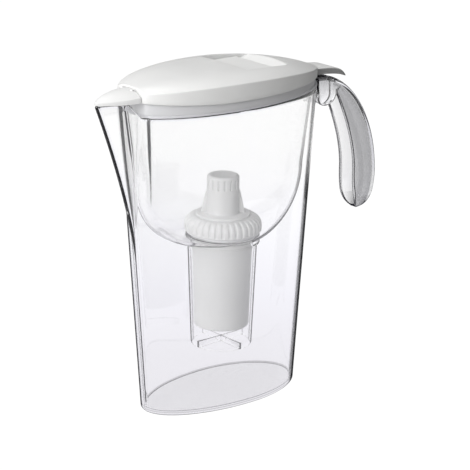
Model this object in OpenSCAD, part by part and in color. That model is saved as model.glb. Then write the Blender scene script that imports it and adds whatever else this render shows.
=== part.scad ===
// Water filter pitcher with a flip lid.
// A clear jug, a clear filling hopper that hangs in it, a filter cartridge in the hopper's well,
// and a white lid with a fill flap and a spout cover.
// Frame: +Z up, origin at the centre of the base's flat face, spout toward -X, handle toward +X.

/* [Jug] */
// Height of the jug's rim above the base
rim_h = 230; // [200:1:250]
// Length of the base ahead of the origin, toward the spout
base_front = 69.5; // [55:0.5:75]
// Length of the base behind the origin, toward the handle
base_back = 68; // [55:1:75]
// Width of the base
base_w = 72; // [60:1:78]
// Length of the rim's oval ahead of the origin
rim_front = 88; // [84:1:96]
// Length of the rim's oval behind the origin
rim_back = 86.5; // [84:0.5:94]
// Width of the rim
rim_w = 82; // [78:1:96]
// How far the base's widest place lies behind the origin
base_mid = 8; // [0:1:20]
// Thickness of the jug's wall
jug_wall = 2.5; // [1.8:0.1:3.5]
// Thickness of the jug's floor
floor_t = 3; // [2:0.1:5]
// Rounding of the base's edge
foot_r = 1.6; // [0.5:0.1:2.5]

/* [Spout] */
// How far the spout's tip stands ahead of the rim's oval
spout_reach = 25; // [14:1:30]
// Half the width of the spout where it joins the oval
spout_half_w = 14; // [10:0.5:16]
// Height where the spout starts to grow from the wall
spout_foot_h = 120; // [100:1:160]
// How far the spout's lip stands above the rim
spout_rise = 10.5; // [6:0.5:11]
// Radius of the spout's tip
spout_tip_r = 2.5; // [1.5:0.1:4]

/* [Handle] */
// Width of the handle's channel
handle_w = 18; // [14:0.5:24]
// Wall of the handle's channel
handle_wall = 3; // [2:0.1:4]
// How far the grip's back stands behind the rim's rear edge
handle_reach = 64; // [50:1:76]
// How far the handle's foot hangs below the rim
handle_drop = 110; // [85:1:130]
// Depth of the grip's channel
grip_d = 24.5; // [18:0.5:27]
// Length of the bracket that carries the handle
bracket_l = 18; // [14:0.5:22]
// Depth of the bracket that carries the handle
bracket_h = 20; // [14:0.5:26]

/* [Hopper] */
// Gap between the hopper's top and the jug's inside
hopper_gap = 1.4; // [0.8:0.1:3]
// Where the hopper's flat front wall stands at the top, ahead of the origin
hopper_front = 78; // [70:0.5:80]
// Where the hopper's front wall stands at the shoulder
hopper_front_low = 72.5; // [66:0.5:76]
// Height of the hopper's shoulder, where its walls start to curve in
hopper_shoulder_h = 172; // [155:1:190]
// How much narrower the hopper is at the shoulder, on each side
hopper_draft = 3.5; // [1:0.1:6]
// Height of the underside of the hopper's floor
hopper_floor_h = 124; // [112:1:135]
// Thickness of the hopper's wall
hopper_wall = 2; // [1.4:0.1:3]
// Thickness of the hopper's flange on the rim
flange_t = 1.8; // [1.2:0.1:3]
// Height of the raised ring that the cartridge's seal rests on
seat_rise = 1.5; // [0.8:0.1:3]

/* [Well] */
// Where the cartridge's axis lies behind the origin
well_x = 2; // [-6:0.5:10]
// Outer radius of the well's collar
collar_r = 27.5; // [26.5:0.1:30]
// Height of the well's collar
collar_h = 4.5; // [3:0.1:7]
// Outer radius of the well below its collar
well_top_r = 25.6; // [24.8:0.1:26.2]
// Outer radius of the well at its foot
well_foot_r = 22.6; // [22.2:0.1:24.5]
// Height of the well's foot above the base
well_foot_h = 40; // [30:0.5:44]
// Wall of the well
well_wall = 1.6; // [1.2:0.1:2]
// Height of the cross of blades in the well's foot
blade_h = 5; // [3:0.5:7]
// Thickness of each blade of the cross
blade_t = 1.6; // [1.2:0.1:3]

/* [Cartridge] */
// Radius of the cartridge's body under its shoulder
body_top_r = 22.4; // [21:0.1:22.8]
// Radius of the cartridge's body at its foot
body_foot_r = 20.2; // [18.5:0.1:20.4]
// Gap between the cartridge's foot and the cross of blades
foot_gap = 10; // [4:0.5:16]
// Wall of the cartridge's shell
shell_wall = 1.6; // [1.2:0.1:2]
// Radius of the shoulder's rim
shoulder_r = 28.4; // [27.2:0.1:29.5]
// Height of the shoulder
shoulder_h = 11.8; // [10:0.1:14]
// Height of the shoulder's upright rim
shoulder_rim_h = 4.3; // [3:0.1:6]
// Grooves round the shoulder
groove_n = 36; // [24:1:48]
// Depth of the grooves
groove_d = 0.8; // [0.4:0.1:1.2]
// Thickness of the seal under the shoulder
seal_t = 1.7; // [1:0.1:2.5]
// Radius of the inlet cap
cap_r = 11.7; // [10:0.1:13]
// Height of the inlet cap above the shoulder
cap_h = 30.5; // [24:0.5:36]
// Radius of the inlet cap's foot
cap_foot_r = 19.8; // [18:0.1:21]
// Thickness of the inlet cap's foot
cap_foot_t = 1.8; // [1.2:0.1:3]
// Wall of the inlet cap
cap_wall = 1.6; // [1.2:0.1:2.5]
// Inlet slots round the cap
slot_n = 16; // [10:1:20]
// Height of the inlet slots
slot_h = 7; // [4:0.5:10]
// Width of the inlet slots
slot_w = 1.4; // [1:0.1:2]
// Thickness of the mesh screens
screen_t = 1; // [0.6:0.1:2]
// Radius of the outlet holes in the cartridge's foot
outlet_r = 1.5; // [1:0.1:2]

/* [Lid] */
// How far the lid's oval stands outside the rim's oval at the spout's end
lid_over_front = 0.5; // [0:0.1:3]
// How far the lid's oval stands outside the rim's oval at the handle's end
lid_over_back = -1; // [-1.5:0.1:2]
// How far the lid's oval stands outside the rim's oval on each side
lid_over_side = 2.5; // [1:0.1:5]
// Height of the skirt's lower edge above the rim
skirt_gap = 7.5; // [5:0.5:9]
// How much the skirt's lower edge rises toward the spout
skirt_lift = 3; // [1:0.1:3.5]
// Height of the skirt at its tallest place
skirt_h = 12.7; // [10:0.1:16]
// How far ahead of the origin the lid's ridge is highest
ridge_peak = 20; // [0:1:30]
// How much lower the lid's ridge is at the spout's end
front_droop = 3.3; // [2:0.1:4]
// How much lower the lid's ridge is at the handle's end
back_droop = 7.7; // [5:0.1:8.5]
// How much the lid's top rises from its ridge to its middle
crown = 5.5; // [3:0.1:7]
// Fullness of the lid's dome: higher is flatter on top and steeper at the ridge
fullness = 4; // [2:0.5:5]
// How far ahead of the origin the dome would fade to the ridge's height
dome_reach = 106; // [100:1:130]
// Thickness of the lid
lid_t = 2; // [1.5:0.1:3]
// How far ahead of the origin the seam to the spout cover lies
seam_x = 83; // [81:0.5:84]
// Width of the rear tab
tab_w = 22; // [16:1:30]
// How far the rear tab stands behind the lid's oval
tab_l = 29.5; // [20:0.5:34]
// How far the tab's root lies below the ridge at the lid's middle
tab_root = 9.2; // [8:0.1:10]
// How much the rear tab's end droops
tab_droop = 9.5; // [8:0.5:10]
// Thickness of the rear tab
tab_t = 4.2; // [3:0.1:4.5]
// How far the liner's lip hangs inside the hopper
liner_lip = 4; // [2:0.5:8]
// Wall of the liner
liner_wall = 2; // [1.5:0.1:3]

/* [Fill flap] */
// Where the flap's hinge axis lies behind the origin
flap_hinge_x = 4; // [2:0.5:8]
// Length of the flap behind its hinge
flap_l = 29.5; // [26:0.5:32]
// Half the width of the flap's recess
recess_half_w = 26; // [24:0.5:29]
// Length of the finger scoop behind the flap
scoop_l = 13.5; // [10:0.5:18]
// Half the width of the finger scoop at its end
scoop_half_w = 18; // [12:0.5:21]
// Depth of the flap's face below the top of the lid's dome
flap_sink = 4.6; // [3.8:0.1:5.4]
// Thickness of the flap
flap_t = 2; // [1.5:0.1:2.5]
// How far the flap reaches ahead of its hinge axis
flap_nose = 1.3; // [1:0.1:1.5]
// Gap between the flap and the recess's floor
tray_gap = 1.4; // [1.2:0.1:2]
// Thickness of the recess's floor
tray_t = 2; // [1.5:0.1:3]
// Radius of the flap's stub axles
stub_r = 1.25; // [1:0.05:1.5]
// Gap round the flap
flap_gap = 0.5; // [0.3:0.1:1]

/* [Spout cover] */
// Radius of the cover's stub axles
cover_stub_r = 1; // [0.8:0.05:1.2]
// Thickness of the cover
cover_t = 1.5; // [1.2:0.1:2]
// How much the cover's top bulges above its edges
cover_crown = 3; // [2.5:0.1:3.5]
// Height of the cover's edge at its tip above the spout's lip
cover_tip_rise = 3.1; // [2.2:0.1:4]
// How far from the middle each hinge arm on the lid stands
arm_y = 4.5; // [3:0.5:6]
// Width of each hinge arm on the lid
arm_w = 2.2; // [1.8:0.1:3]

/* [Fits] */
// Radial clearance of a stub axle in its bore
running_gap = 0.05; // [0.03:0.01:0.1]
// Gap between pieces that move past each other
free_gap = 0.5; // [0.3:0.05:1]

/* [Hidden] */
$fn = 96;

// Angles round an oval, closer together at the spout
angles = concat(
    [for (a = [0 : 7.5 : 142.5]) a],
    [for (a = [150 : 3 : 210]) a],
    [for (a = [217.5 : 7.5 : 352.5]) a]
);

function mix(a, b, t) = a + (b - a) * t;
function clamp(t) = max(0, min(1, t));
function ease(t) = let (c = clamp(t)) c * c * (3 - 2 * c);

// An oval is [length ahead, length behind, half width, place of its widest point]
base_oval = [base_front, base_back, base_w / 2, base_mid];
rim_oval = [rim_front, rim_back, rim_w / 2, 0];
lid_back = rim_back + lid_over_back;
lid_oval = [rim_front + lid_over_front, lid_back, rim_w / 2 + lid_over_side, 0];

function oval_pt(o, inset, a) =
    let (reach = (cos(a) < 0 ? o[0] + o[3] : o[1] - o[3]) - inset)
    [o[3] + reach * cos(a), (o[2] - inset) * sin(a)];

// A closed ring-shaped solid: the last ring of points joins the first
module loop_skin(rings) {
    n = len(rings[0]);
    m = len(rings);
    polyhedron(
        points = [for (r = rings) each r],
        faces = [for (j = [0 : m - 1], i = [0 : n - 1]) let (k = (i + 1) % n, l = (j + 1) % m) each [
            [j * n + i, l * n + i, l * n + k],
            [j * n + i, l * n + k, j * n + k]
        ]]
    );
}

// A closed solid from rings of points; the first and the last ring are capped
module skin(rings) {
    n = len(rings[0]);
    m = len(rings);
    polyhedron(
        points = [for (r = rings) each r],
        faces = concat(
            [[for (i = [0 : n - 1]) i]],
            [for (j = [0 : m - 2], i = [0 : n - 1]) let (k = (i + 1) % n) each [
                [j * n + i, (j + 1) * n + i, (j + 1) * n + k],
                [j * n + i, (j + 1) * n + k, j * n + k]
            ]],
            [[for (i = [n - 1 : -1 : 0]) (m - 1) * n + i]]
        )
    );
}

// Jug: an oval that widens upward, with a beak in front of it
lip_h = rim_h + spout_rise;
beak_slope = (spout_reach + rim_front * (1 - sqrt(1 - pow(2 * spout_half_w / rim_w, 2))))
    / (sqrt(pow(spout_half_w, 2) + pow(spout_tip_r, 2)) - spout_tip_r);
function jug_oval(z) = mix(base_oval, rim_oval, z / rim_h);
function beak_reach(z) = spout_reach * pow(clamp((z - spout_foot_h) / (lip_h - spout_foot_h)), 1.5);
function beak_x(z, y, inset) =
    -jug_oval(z)[0] - beak_reach(z) + 1.7 * inset
    + beak_slope * (sqrt(y * y + spout_tip_r * spout_tip_r) - spout_tip_r);
function jug_pt(z, a, inset) =
    let (p = oval_pt(jug_oval(z), inset, a))
    [cos(a) < 0 ? min(p[0], beak_x(z, p[1], inset)) : p[0], p[1], z];
function lip_at(a) =
    rim_h + (cos(a) < 0 ? spout_rise * ease((spout_half_w - 1 - abs(rim_w / 2 * sin(a))) / 3) : 0);
function jug_ring(low, t, inset) = [for (a = angles) jug_pt(mix(low, lip_at(a), t), a, inset)];
jug_steps = [0.1, 0.3, 0.5, 0.6, 0.68, 0.76, 0.84, 0.92, 1];

// Handle: its side outline in x and z, as curves between a few points
function bezier(p, n) = [for (i = [0 : n]) let (t = i / n, s = 1 - t)
    s * s * s * p[0] + 3 * s * s * t * p[1] + 3 * s * t * t * p[2] + t * t * t * p[3]];
handle_x = rim_back + 1.8;
handle_top = rim_h + 3.8;
grip_x = rim_back + handle_reach + 1.4;
grip_foot = rim_h - handle_drop;
grip_h = handle_top - grip_foot;
bracket_x = handle_x + bracket_l;
function handle_back(inset) = concat(
    bezier([[handle_x, handle_top - inset], [handle_x + 30, handle_top - inset],
        [grip_x - 2 - inset, rim_h - 30], [grip_x - inset, rim_h - 80]], 14),
    bezier([[grip_x - inset, rim_h - 80], [grip_x - inset, grip_foot + 14],
        [grip_x - 5 - inset / 2, grip_foot + inset], [grip_x - 15, grip_foot + inset]], 8)
);
grip_front = concat(
    bezier([[grip_x - 15, grip_foot], [grip_x - grip_d + 1.5, grip_foot + 5],
        [grip_x - grip_d, grip_foot + 18], [grip_x - grip_d, grip_foot + 33]], 8),
    bezier([[grip_x - grip_d, grip_foot + 33], [grip_x - grip_d, grip_foot + 58],
        [bracket_x + 8, rim_h - bracket_h - 6], [bracket_x, rim_h - 8]], 10)
);
bracket_foot = bezier([[bracket_x, rim_h - 12], [bracket_x, rim_h - bracket_h - 3],
    [handle_x, rim_h - bracket_h - 3], [handle_x, rim_h - bracket_h + 6]], 10);

module side_plate(outline, width) {
    rotate([90, 0, 0])
        linear_extrude(width, center = true)
            polygon(outline);
}

// Hopper: an oval with a flat front, that curves in to the round well
flange_top = rim_h + flange_t;
hopper_inset = jug_wall + hopper_gap;
hopper_top_oval = [rim_front - hopper_inset, rim_back - hopper_inset, rim_w / 2 - hopper_inset, 0];
hopper_low_oval = let (d = hopper_inset + hopper_draft, o = jug_oval(hopper_shoulder_h))
    [o[0] - d, o[1] - d, o[2] - d, o[3]];
function flat_front(p, x) = [max(p[0], -x), p[1]];
function with_z(p, z) = [p[0], p[1], z];
function well_pt(r, a) = [well_x + r * cos(a), r * sin(a)];
function hopper_wall_ring(z, inset) =
    let (t = (z - hopper_shoulder_h) / (rim_h - hopper_shoulder_h))
    [for (a = angles) with_z(flat_front(oval_pt(mix(hopper_low_oval, hopper_top_oval, t), inset, a),
        mix(hopper_front_low, hopper_front, t) - inset), z)];
function hopper_bowl_ring(f, r, low, inset) =
    [for (a = angles) with_z(mix(well_pt(r, a),
        flat_front(oval_pt(hopper_low_oval, inset, a), hopper_front_low - inset), sin(f)),
        mix(low, hopper_shoulder_h, 1 - cos(f)))];
bowl_steps = [0, 15, 30, 45, 60, 75];
floor_top = hopper_floor_h + hopper_wall;
seat_h = floor_top + seat_rise;
seat_r = collar_r - 0.5;

// Well and cartridge, all round the same axis
well_bore_r = well_top_r - well_wall;
shoulder_foot_h = seat_h + seal_t;
shoulder_top_h = shoulder_foot_h + shoulder_h;
blade_top_h = well_foot_h + blade_h;
body_foot_h = blade_top_h + foot_gap;
cap_bore_r = cap_r - cap_wall;
cap_top_h = shoulder_top_h + cap_h;
shell_floor_t = 2.2;
shell_roof_t = 3.6;
media_foot_h = body_foot_h + shell_floor_t + screen_t;
shell_roof_h = shoulder_top_h - shell_roof_t;
media_top_h = shell_roof_h - screen_t;
function body_r(z) = mix(body_foot_r, body_top_r,
    clamp((z - body_foot_h) / (shoulder_foot_h - body_foot_h)));

// Lid: a ridge that is lower at both ends, a crowned top and an upright skirt
skirt_foot_h = rim_h + skirt_gap;
ridge_h = skirt_foot_h + skirt_h;
function ridge_z(x) = let (d = x + ridge_peak)
    ridge_h - (d < 0 ? front_droop * pow(d / (seam_x - ridge_peak), 2)
        : back_droop * pow(d / (lid_back + ridge_peak), 2.2));
function skirt_z(x) = skirt_foot_h + skirt_lift * pow(clamp((-x - ridge_peak) / (seam_x - ridge_peak)), 1.5);
function lid_half_w(x, inset) = (lid_oval[2] - inset)
    * sqrt(max(0.01, 1 - pow(x / (lid_oval[0] - inset), 2)));
function dome(q, rho, inset) = crown * (q[0] > 0 ? 1 - pow(rho, fullness)
    : (1 - pow(clamp(abs(q[1]) / lid_half_w(q[0], inset)), fullness)) * (1 - pow(q[0] / dome_reach, 4)));
function lid_ring(rho, inset, drop) = [for (a = angles)
    let (q = rho * flat_front(oval_pt(lid_oval, inset, a), seam_x - inset))
    with_z(q, ridge_z(q[0]) + dome(q, rho, inset) - drop)];
function lid_level(inset, z) = [for (a = angles)
    with_z(flat_front(oval_pt(lid_oval, inset, a), seam_x - inset), z)];
function lid_foot(inset) = [for (p = lid_level(inset, 0)) [p[0], p[1], skirt_z(p[0])]];
function liner_lip_ring(z, inset) = [for (a = angles)
    with_z(flat_front(oval_pt(hopper_top_oval, hopper_wall + free_gap + inset, a),
        hopper_front - hopper_wall - free_gap - inset), z)];
dome_steps = [0.15, 0.35, 0.55, 0.72, 0.86, 0.95];
lid_top_h = ridge_h + crown;

// Fill flap and its recess
flap_top_h = lid_top_h - flap_sink;
flap_foot_h = flap_top_h - flap_t;
flap_axis_h = flap_top_h - stub_r - 0.05;
flap_end_x = flap_hinge_x + flap_l;
recess_x = flap_hinge_x - flap_nose - 2 * free_gap;
recess_end_x = flap_end_x + scoop_l;
recess_side = bezier([[recess_x, recess_half_w], [mix(recess_x, recess_end_x, 0.5), recess_half_w],
    [recess_end_x, mix(scoop_half_w, recess_half_w, 0.67)], [recess_end_x, scoop_half_w]], 12);
module recess_plan(inset) {
    offset(delta = -inset)
        polygon(concat(recess_side, [for (i = [len(recess_side) - 1 : -1 : 0])
            [recess_side[i][0], -recess_side[i][1]]]));
}
tray_h = flap_foot_h - tray_gap - tray_t;

// Spout cover
cover_axis_x = -seam_x - 2.4;
cover_axis_h = ridge_z(-seam_x) + cover_crown - 2;
cover_rear_x = cover_axis_x + 1;
cover_half_w = spout_half_w;
cover_tip_x = rim_front + spout_reach + 0.5;
cover_mid_x = mix(cover_rear_x, -cover_tip_x, 0.35);
function cover_edge_z(x) = mix(ridge_z(-seam_x), lip_h + cover_tip_rise,
    (cover_rear_x - x) / (cover_rear_x + cover_tip_x));
function cover_bulge(x, y, inset) =
    let (u = clamp((cover_rear_x - inset - x) / (cover_tip_x - inset + cover_rear_x - inset)),
        w = max(0.01, (cover_half_w - inset) * pow(1 - pow(u, 1.8), 0.77)))
    cover_crown * (1 - pow(clamp(abs(y) / w), 3)) * (1 - pow(u, 3));
function cover_ring(t, inset) = [for (a = concat([for (k = [-90 : 6 : 90]) k], [for (k = [1 : 5]) 90 + k]))
    let (w = cover_half_w - inset, rear = cover_rear_x - inset, q = a > 90 ? 1 - (a - 90) / 3 : sin(a),
        x = a > 90 ? rear : rear - (cover_tip_x - inset + rear) * pow(1 - pow(abs(q), 1.3), 0.555),
        px = mix(cover_mid_x, x, t), py = -w * q * t)
    [px, py, cover_edge_z(px) + cover_bulge(px, py, inset) - inset]];

module jug_body() {
    color([0.86, 0.9, 0.94, 0.4]) {
        skin(concat(
            [[for (a = angles) jug_pt(0, a, foot_r)]],
            [[for (a = angles) jug_pt(foot_r, a, 0)]],
            [for (t = jug_steps) jug_ring(foot_r, t, 0)],
            [for (i = [len(jug_steps) - 1 : -1 : 0]) jug_ring(floor_t, jug_steps[i], jug_wall)],
            [[for (a = angles) jug_pt(floor_t, a, jug_wall)]]
        ));
        side_plate(concat([[rim_back - jug_wall / 2, rim_h]],
            [for (p = handle_back(handle_wall + 0.8)) if (p[0] < bracket_x - 2) p],
            [for (p = bracket_foot) [min(p[0], bracket_x - 1), p[1] + 1]],
            [[rim_back - jug_wall / 2 - 1.2, rim_h - bracket_h + 7]]), handle_w - 2 * handle_wall);
    }
}

module handle() {
    color([0.82, 0.85, 0.9, 0.6])
        difference() {
            side_plate(concat(handle_back(0), grip_front, bracket_foot), handle_w);
            side_plate(concat(handle_back(handle_wall), [[grip_x - grip_d - 8, grip_foot - 1],
                [handle_x - 1, grip_foot - 1], [handle_x - 1, handle_top - handle_wall]]),
                handle_w - 2 * handle_wall);
        }
}

module hopper() {
    color([0.86, 0.9, 0.96, 0.4])
        difference() {
            union() {
                skin(concat(
                    [for (f = bowl_steps) hopper_bowl_ring(f, collar_r, hopper_floor_h, 0)],
                    [for (z = [hopper_shoulder_h, mix(hopper_shoulder_h, rim_h, 0.5), rim_h])
                        hopper_wall_ring(z, 0)],
                    [for (z = [rim_h, flange_top]) [for (a = angles)
                        with_z(flat_front(oval_pt(rim_oval, 0, a), hopper_front + 1.5), z)]],
                    [for (z = [flange_top, mix(hopper_shoulder_h, rim_h, 0.5), hopper_shoulder_h])
                        hopper_wall_ring(z, hopper_wall)],
                    [for (i = [len(bowl_steps) - 1 : -1 : 0])
                        hopper_bowl_ring(bowl_steps[i], collar_r, floor_top, hopper_wall)]
                ));
                translate([well_x, 0, mix(hopper_floor_h, floor_top, 0.5)])
                    cylinder(r = seat_r, h = seat_h - mix(hopper_floor_h, floor_top, 0.5));
            }
            translate([well_x, 0, hopper_floor_h - 1])
                cylinder(r = well_bore_r, h = seat_h - hopper_floor_h + 2);
        }
}

module cartridge_well() {
    bore_foot_r = well_foot_r - well_wall;
    color([0.84, 0.87, 0.92, 0.5])
        translate([well_x, 0, 0]) {
            rotate_extrude()
                polygon([
                    [bore_foot_r, well_foot_h], [well_foot_r, well_foot_h],
                    [well_top_r, hopper_floor_h - collar_h], [collar_r, hopper_floor_h - collar_h],
                    [collar_r, hopper_floor_h], [well_bore_r, hopper_floor_h]
                ]);
            for (a = [0, 90])
                rotate(a)
                    translate([-well_foot_r + well_wall / 2, -blade_t / 2, well_foot_h])
                        cube([2 * well_foot_r - well_wall, blade_t, blade_h]);
        }
}

module cartridge_shell() {
    color([0.93, 0.93, 0.93])
        translate([well_x, 0, 0])
            difference() {
                rotate_extrude()
                    polygon(concat(
                        [[0, body_foot_h], [body_foot_r, body_foot_h], [body_top_r, shoulder_foot_h],
                            [shoulder_r, shoulder_foot_h]],
                        [for (i = [0 : 6]) let (a = 90 * i / 6)
                            [mix(cap_foot_r + 0.6, shoulder_r, cos(a)),
                                mix(shoulder_foot_h + shoulder_rim_h, shoulder_top_h, sin(a))]],
                        [[0, shoulder_top_h]]
                    ));
                rotate_extrude()
                    polygon([
                        [0, body_foot_h + shell_floor_t],
                        [body_r(body_foot_h + shell_floor_t) - shell_wall, body_foot_h + shell_floor_t],
                        [body_top_r - shell_wall, shoulder_foot_h],
                        [body_top_r - shell_wall, shell_roof_h], [0, shell_roof_h]
                    ]);
                translate([0, 0, shell_roof_h - 1])
                    cylinder(r = cap_bore_r, h = shell_roof_t + 2);
                for (i = [0 : groove_n - 1])
                    rotate(360 * i / groove_n)
                        translate([shoulder_r - groove_d, -0.8, shoulder_foot_h + 1])
                            cube([groove_d + 1, 1.6, shoulder_h]);
                for (r = [6, 13], i = [0 : r - 1])
                    rotate(360 * i / r)
                        translate([r, 0, body_foot_h - 1])
                            cylinder(r = outlet_r, h = shell_floor_t + 2, $fn = 24);
            }
}

module cartridge_seal() {
    color([0.75, 0.77, 0.8])
        translate([well_x, 0, seat_h])
            difference() {
                cylinder(r = seat_r, h = seal_t);
                translate([0, 0, -1])
                    cylinder(r = well_bore_r, h = seal_t + 2);
            }
}

module inlet_cap() {
    slot_top_h = cap_top_h - 2.5;
    color([0.9, 0.9, 0.9])
        translate([well_x, 0, 0])
            difference() {
                union() {
                    rotate_extrude()
                        polygon(concat(
                            [[cap_bore_r, shoulder_top_h], [cap_foot_r, shoulder_top_h],
                                [cap_foot_r, shoulder_top_h + cap_foot_t],
                                [cap_r + 0.6, shoulder_top_h + cap_foot_t]],
                            [for (a = [0 : 22.5 : 90])
                                [cap_r - 2 + 2 * cos(a), cap_top_h - 2 + 2 * sin(a)]],
                            [[0, cap_top_h], [0, cap_top_h - cap_wall],
                                [cap_bore_r, cap_top_h - cap_wall]]
                        ));
                    for (a = [0, 180])
                        rotate(a - 40)
                            side_plate([[cap_r - 0.8, shoulder_top_h + cap_foot_t - 0.2],
                                [cap_r + 4, shoulder_top_h + cap_foot_t - 0.2],
                                [cap_r + 0.5, cap_top_h - 12], [cap_r - 0.8, cap_top_h - 12]], 2);
                }
                for (i = [0 : slot_n - 1])
                    rotate(360 * (i + 0.5) / slot_n)
                        translate([cap_bore_r - 1.2, -slot_w / 2, slot_top_h - slot_h])
                            cube([cap_wall + 3, slot_w, slot_h]);
            }
}

module upper_screen() {
    color([0.8, 0.8, 0.8])
        translate([well_x, 0, media_top_h])
            cylinder(r = body_top_r - shell_wall, h = screen_t);
}

module filter_media() {
    color([0.25, 0.24, 0.23])
        translate([well_x, 0, 0])
            rotate_extrude()
                polygon([
                    [0, media_foot_h], [body_r(media_foot_h) - shell_wall, media_foot_h],
                    [body_top_r - shell_wall, shoulder_foot_h], [body_top_r - shell_wall, media_top_h],
                    [0, media_top_h]
                ]);
}

module lower_screen() {
    color([0.8, 0.8, 0.8])
        translate([well_x, 0, media_foot_h - screen_t])
            cylinder(r = body_r(media_foot_h - screen_t) - shell_wall, h = screen_t);
}

module lid_solid(inset) {
    skin(concat(
        [lid_level(inset, rim_h), lid_ring(1, inset, inset)],
        [for (i = [len(dome_steps) - 1 : -1 : 0]) lid_ring(dome_steps[i], inset, inset)]
    ));
}

module lid_shell() {
    bore_r = stub_r + running_gap;
    arm_bore_r = cover_stub_r + running_gap;
    color([0.95, 0.95, 0.95]) {
        difference() {
            union() {
                skin(concat(
                    [for (s = dome_steps) lid_ring(s, lid_t, lid_t)],
                    [lid_ring(1, lid_t, lid_t), lid_foot(lid_t), lid_foot(0), lid_ring(1, 0, 0)],
                    [for (i = [len(dome_steps) - 1 : -1 : 0]) lid_ring(dome_steps[i], 0, 0)]
                ));
                intersection() {
                    lid_solid(0.3);
                    translate([0, 0, tray_h])
                        linear_extrude(lid_top_h - tray_h)
                            offset(lid_t)
                                recess_plan(0);
                }
            }
            intersection() {
                translate([0, 0, tray_h + tray_t])
                    linear_extrude(lid_top_h - tray_h)
                        recess_plan(0);
                side_plate([[recess_x - 1, tray_h], [flap_end_x + free_gap, tray_h],
                    [flap_end_x + free_gap, tray_h + tray_t + 0.5], [recess_end_x, flap_top_h + 0.8],
                    [recess_end_x + 1, lid_top_h + 1], [recess_x - 1, lid_top_h + 1]],
                    2 * recess_half_w + 2);
            }
            translate([0, 0, tray_h - 1])
                linear_extrude(tray_t + 2)
                    intersection() {
                        recess_plan(4);
                        translate([0, -50])
                            square([flap_end_x - 3, 100]);
                    }
            translate([flap_hinge_x, 0, flap_axis_h])
                rotate([90, 0, 0])
                    cylinder(r = bore_r, h = 2 * (recess_half_w + 1.5), center = true);
        }
        for (s = [-1, 1])
            translate([0, s * (arm_y + arm_w / 2), 0])
                rotate([90, 0, 0])
                    difference() {
                        union() {
                            translate([cover_axis_x, cover_axis_h])
                                cylinder(r = 1.3 + cover_stub_r / 2, h = arm_w, center = true);
                            translate([cover_axis_x, cover_axis_h - 1.8, -arm_w / 2])
                                cube([3.2, 3.1, arm_w]);
                        }
                        translate([cover_axis_x, cover_axis_h])
                            cylinder(r = arm_bore_r, h = arm_w + 2, center = true);
                    }
        difference() {
            translate([0, 0, ridge_h - tab_root])
                side_plate(concat(
                    bezier([[lid_back - 8, 0.8], [lid_back + 8, -1], [lid_back + tab_l - 7, 1],
                        [lid_back + tab_l, -tab_droop]], 8),
                    bezier([[lid_back + tab_l - 0.6, -tab_droop - 0.8], [lid_back + tab_l - 7, -tab_t - 3],
                        [lid_back + 8, -tab_t - 1.6], [lid_back - 5, -tab_t - 0.8]], 8)), tab_w);
            lid_solid(lid_t - 0.4);
        }
    }
}

module lid_liner() {
    color([0.88, 0.88, 0.88])
        loop_skin([
            lid_level(lid_t, flange_top),
            lid_ring(1, lid_t, lid_t + 0.2),
            lid_ring(1, lid_t + liner_wall, lid_t + 0.2),
            lid_level(lid_t + liner_wall, flange_top + liner_wall),
            liner_lip_ring(flange_top + liner_wall, liner_wall),
            liner_lip_ring(flange_top - liner_lip, liner_wall),
            liner_lip_ring(flange_top - liner_lip, 0),
            liner_lip_ring(flange_top, 0)
        ]);
}

module fill_flap() {
    color([0.94, 0.94, 0.94]) {
        translate([0, 0, flap_foot_h])
            linear_extrude(flap_t)
                intersection() {
                    recess_plan(flap_gap);
                    translate([flap_hinge_x - flap_nose, -50])
                        square([flap_l + flap_nose, 100]);
                }
        for (s = [-1, 1])
            translate([flap_hinge_x, s * (recess_half_w - 1.5), flap_axis_h])
                rotate([90, 0, 0])
                    cylinder(r = stub_r, h = 5, center = true);
    }
}

module cover_block(inset, low) {
    skin(concat(
        [[for (p = cover_ring(1, inset)) [p[0], p[1], low]]],
        [for (t = [1, 0.85, 0.65, 0.45, 0.25]) cover_ring(t, inset)]
    ));
}

module spout_cover() {
    color([0.96, 0.96, 0.96]) {
        difference() {
            cover_block(0, lip_h + free_gap);
            cover_block(cover_t, lip_h - 1);
            for (s = [-1, 1])
                translate([cover_axis_x - 2.5, s * (arm_y + arm_w / 2) - arm_w / 2 - free_gap / 2, lip_h])
                    cube([10, arm_w + free_gap, 20]);
        }
        translate([cover_axis_x, 0, cover_axis_h])
            rotate([90, 0, 0]) {
                cylinder(r = 1.3, h = 2 * arm_y - free_gap, center = true);
                cylinder(r = cover_stub_r, h = 2 * (arm_y + arm_w) - 0.6, center = true);
            }
    }
}

jug_body();
handle();
hopper();
cartridge_well();
cartridge_shell();
cartridge_seal();
inlet_cap();
upper_screen();
filter_media();
lower_screen();
lid_shell();
lid_liner();
fill_flap();
spout_cover();
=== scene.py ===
# Water filter pitcher with a flip lid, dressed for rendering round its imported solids.
# All shapes are worked out in millimetres, in the solids' own frame, and stored in metres.
import math

import bpy
import numpy as np
from mathutils import Matrix, Vector


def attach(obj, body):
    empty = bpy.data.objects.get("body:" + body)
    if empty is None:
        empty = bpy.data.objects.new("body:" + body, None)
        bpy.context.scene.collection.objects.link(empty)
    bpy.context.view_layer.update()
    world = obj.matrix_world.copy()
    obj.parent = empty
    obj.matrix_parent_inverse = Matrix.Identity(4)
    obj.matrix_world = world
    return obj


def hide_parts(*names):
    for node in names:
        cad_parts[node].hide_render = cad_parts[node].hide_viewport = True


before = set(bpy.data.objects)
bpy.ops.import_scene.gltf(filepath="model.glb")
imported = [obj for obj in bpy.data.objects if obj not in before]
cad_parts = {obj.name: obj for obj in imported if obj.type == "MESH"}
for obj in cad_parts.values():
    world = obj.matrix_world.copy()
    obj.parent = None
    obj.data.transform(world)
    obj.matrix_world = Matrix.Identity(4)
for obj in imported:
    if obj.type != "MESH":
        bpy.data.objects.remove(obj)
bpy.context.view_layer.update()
scene = bpy.context.scene
scene.view_settings.view_transform = "Standard"
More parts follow.
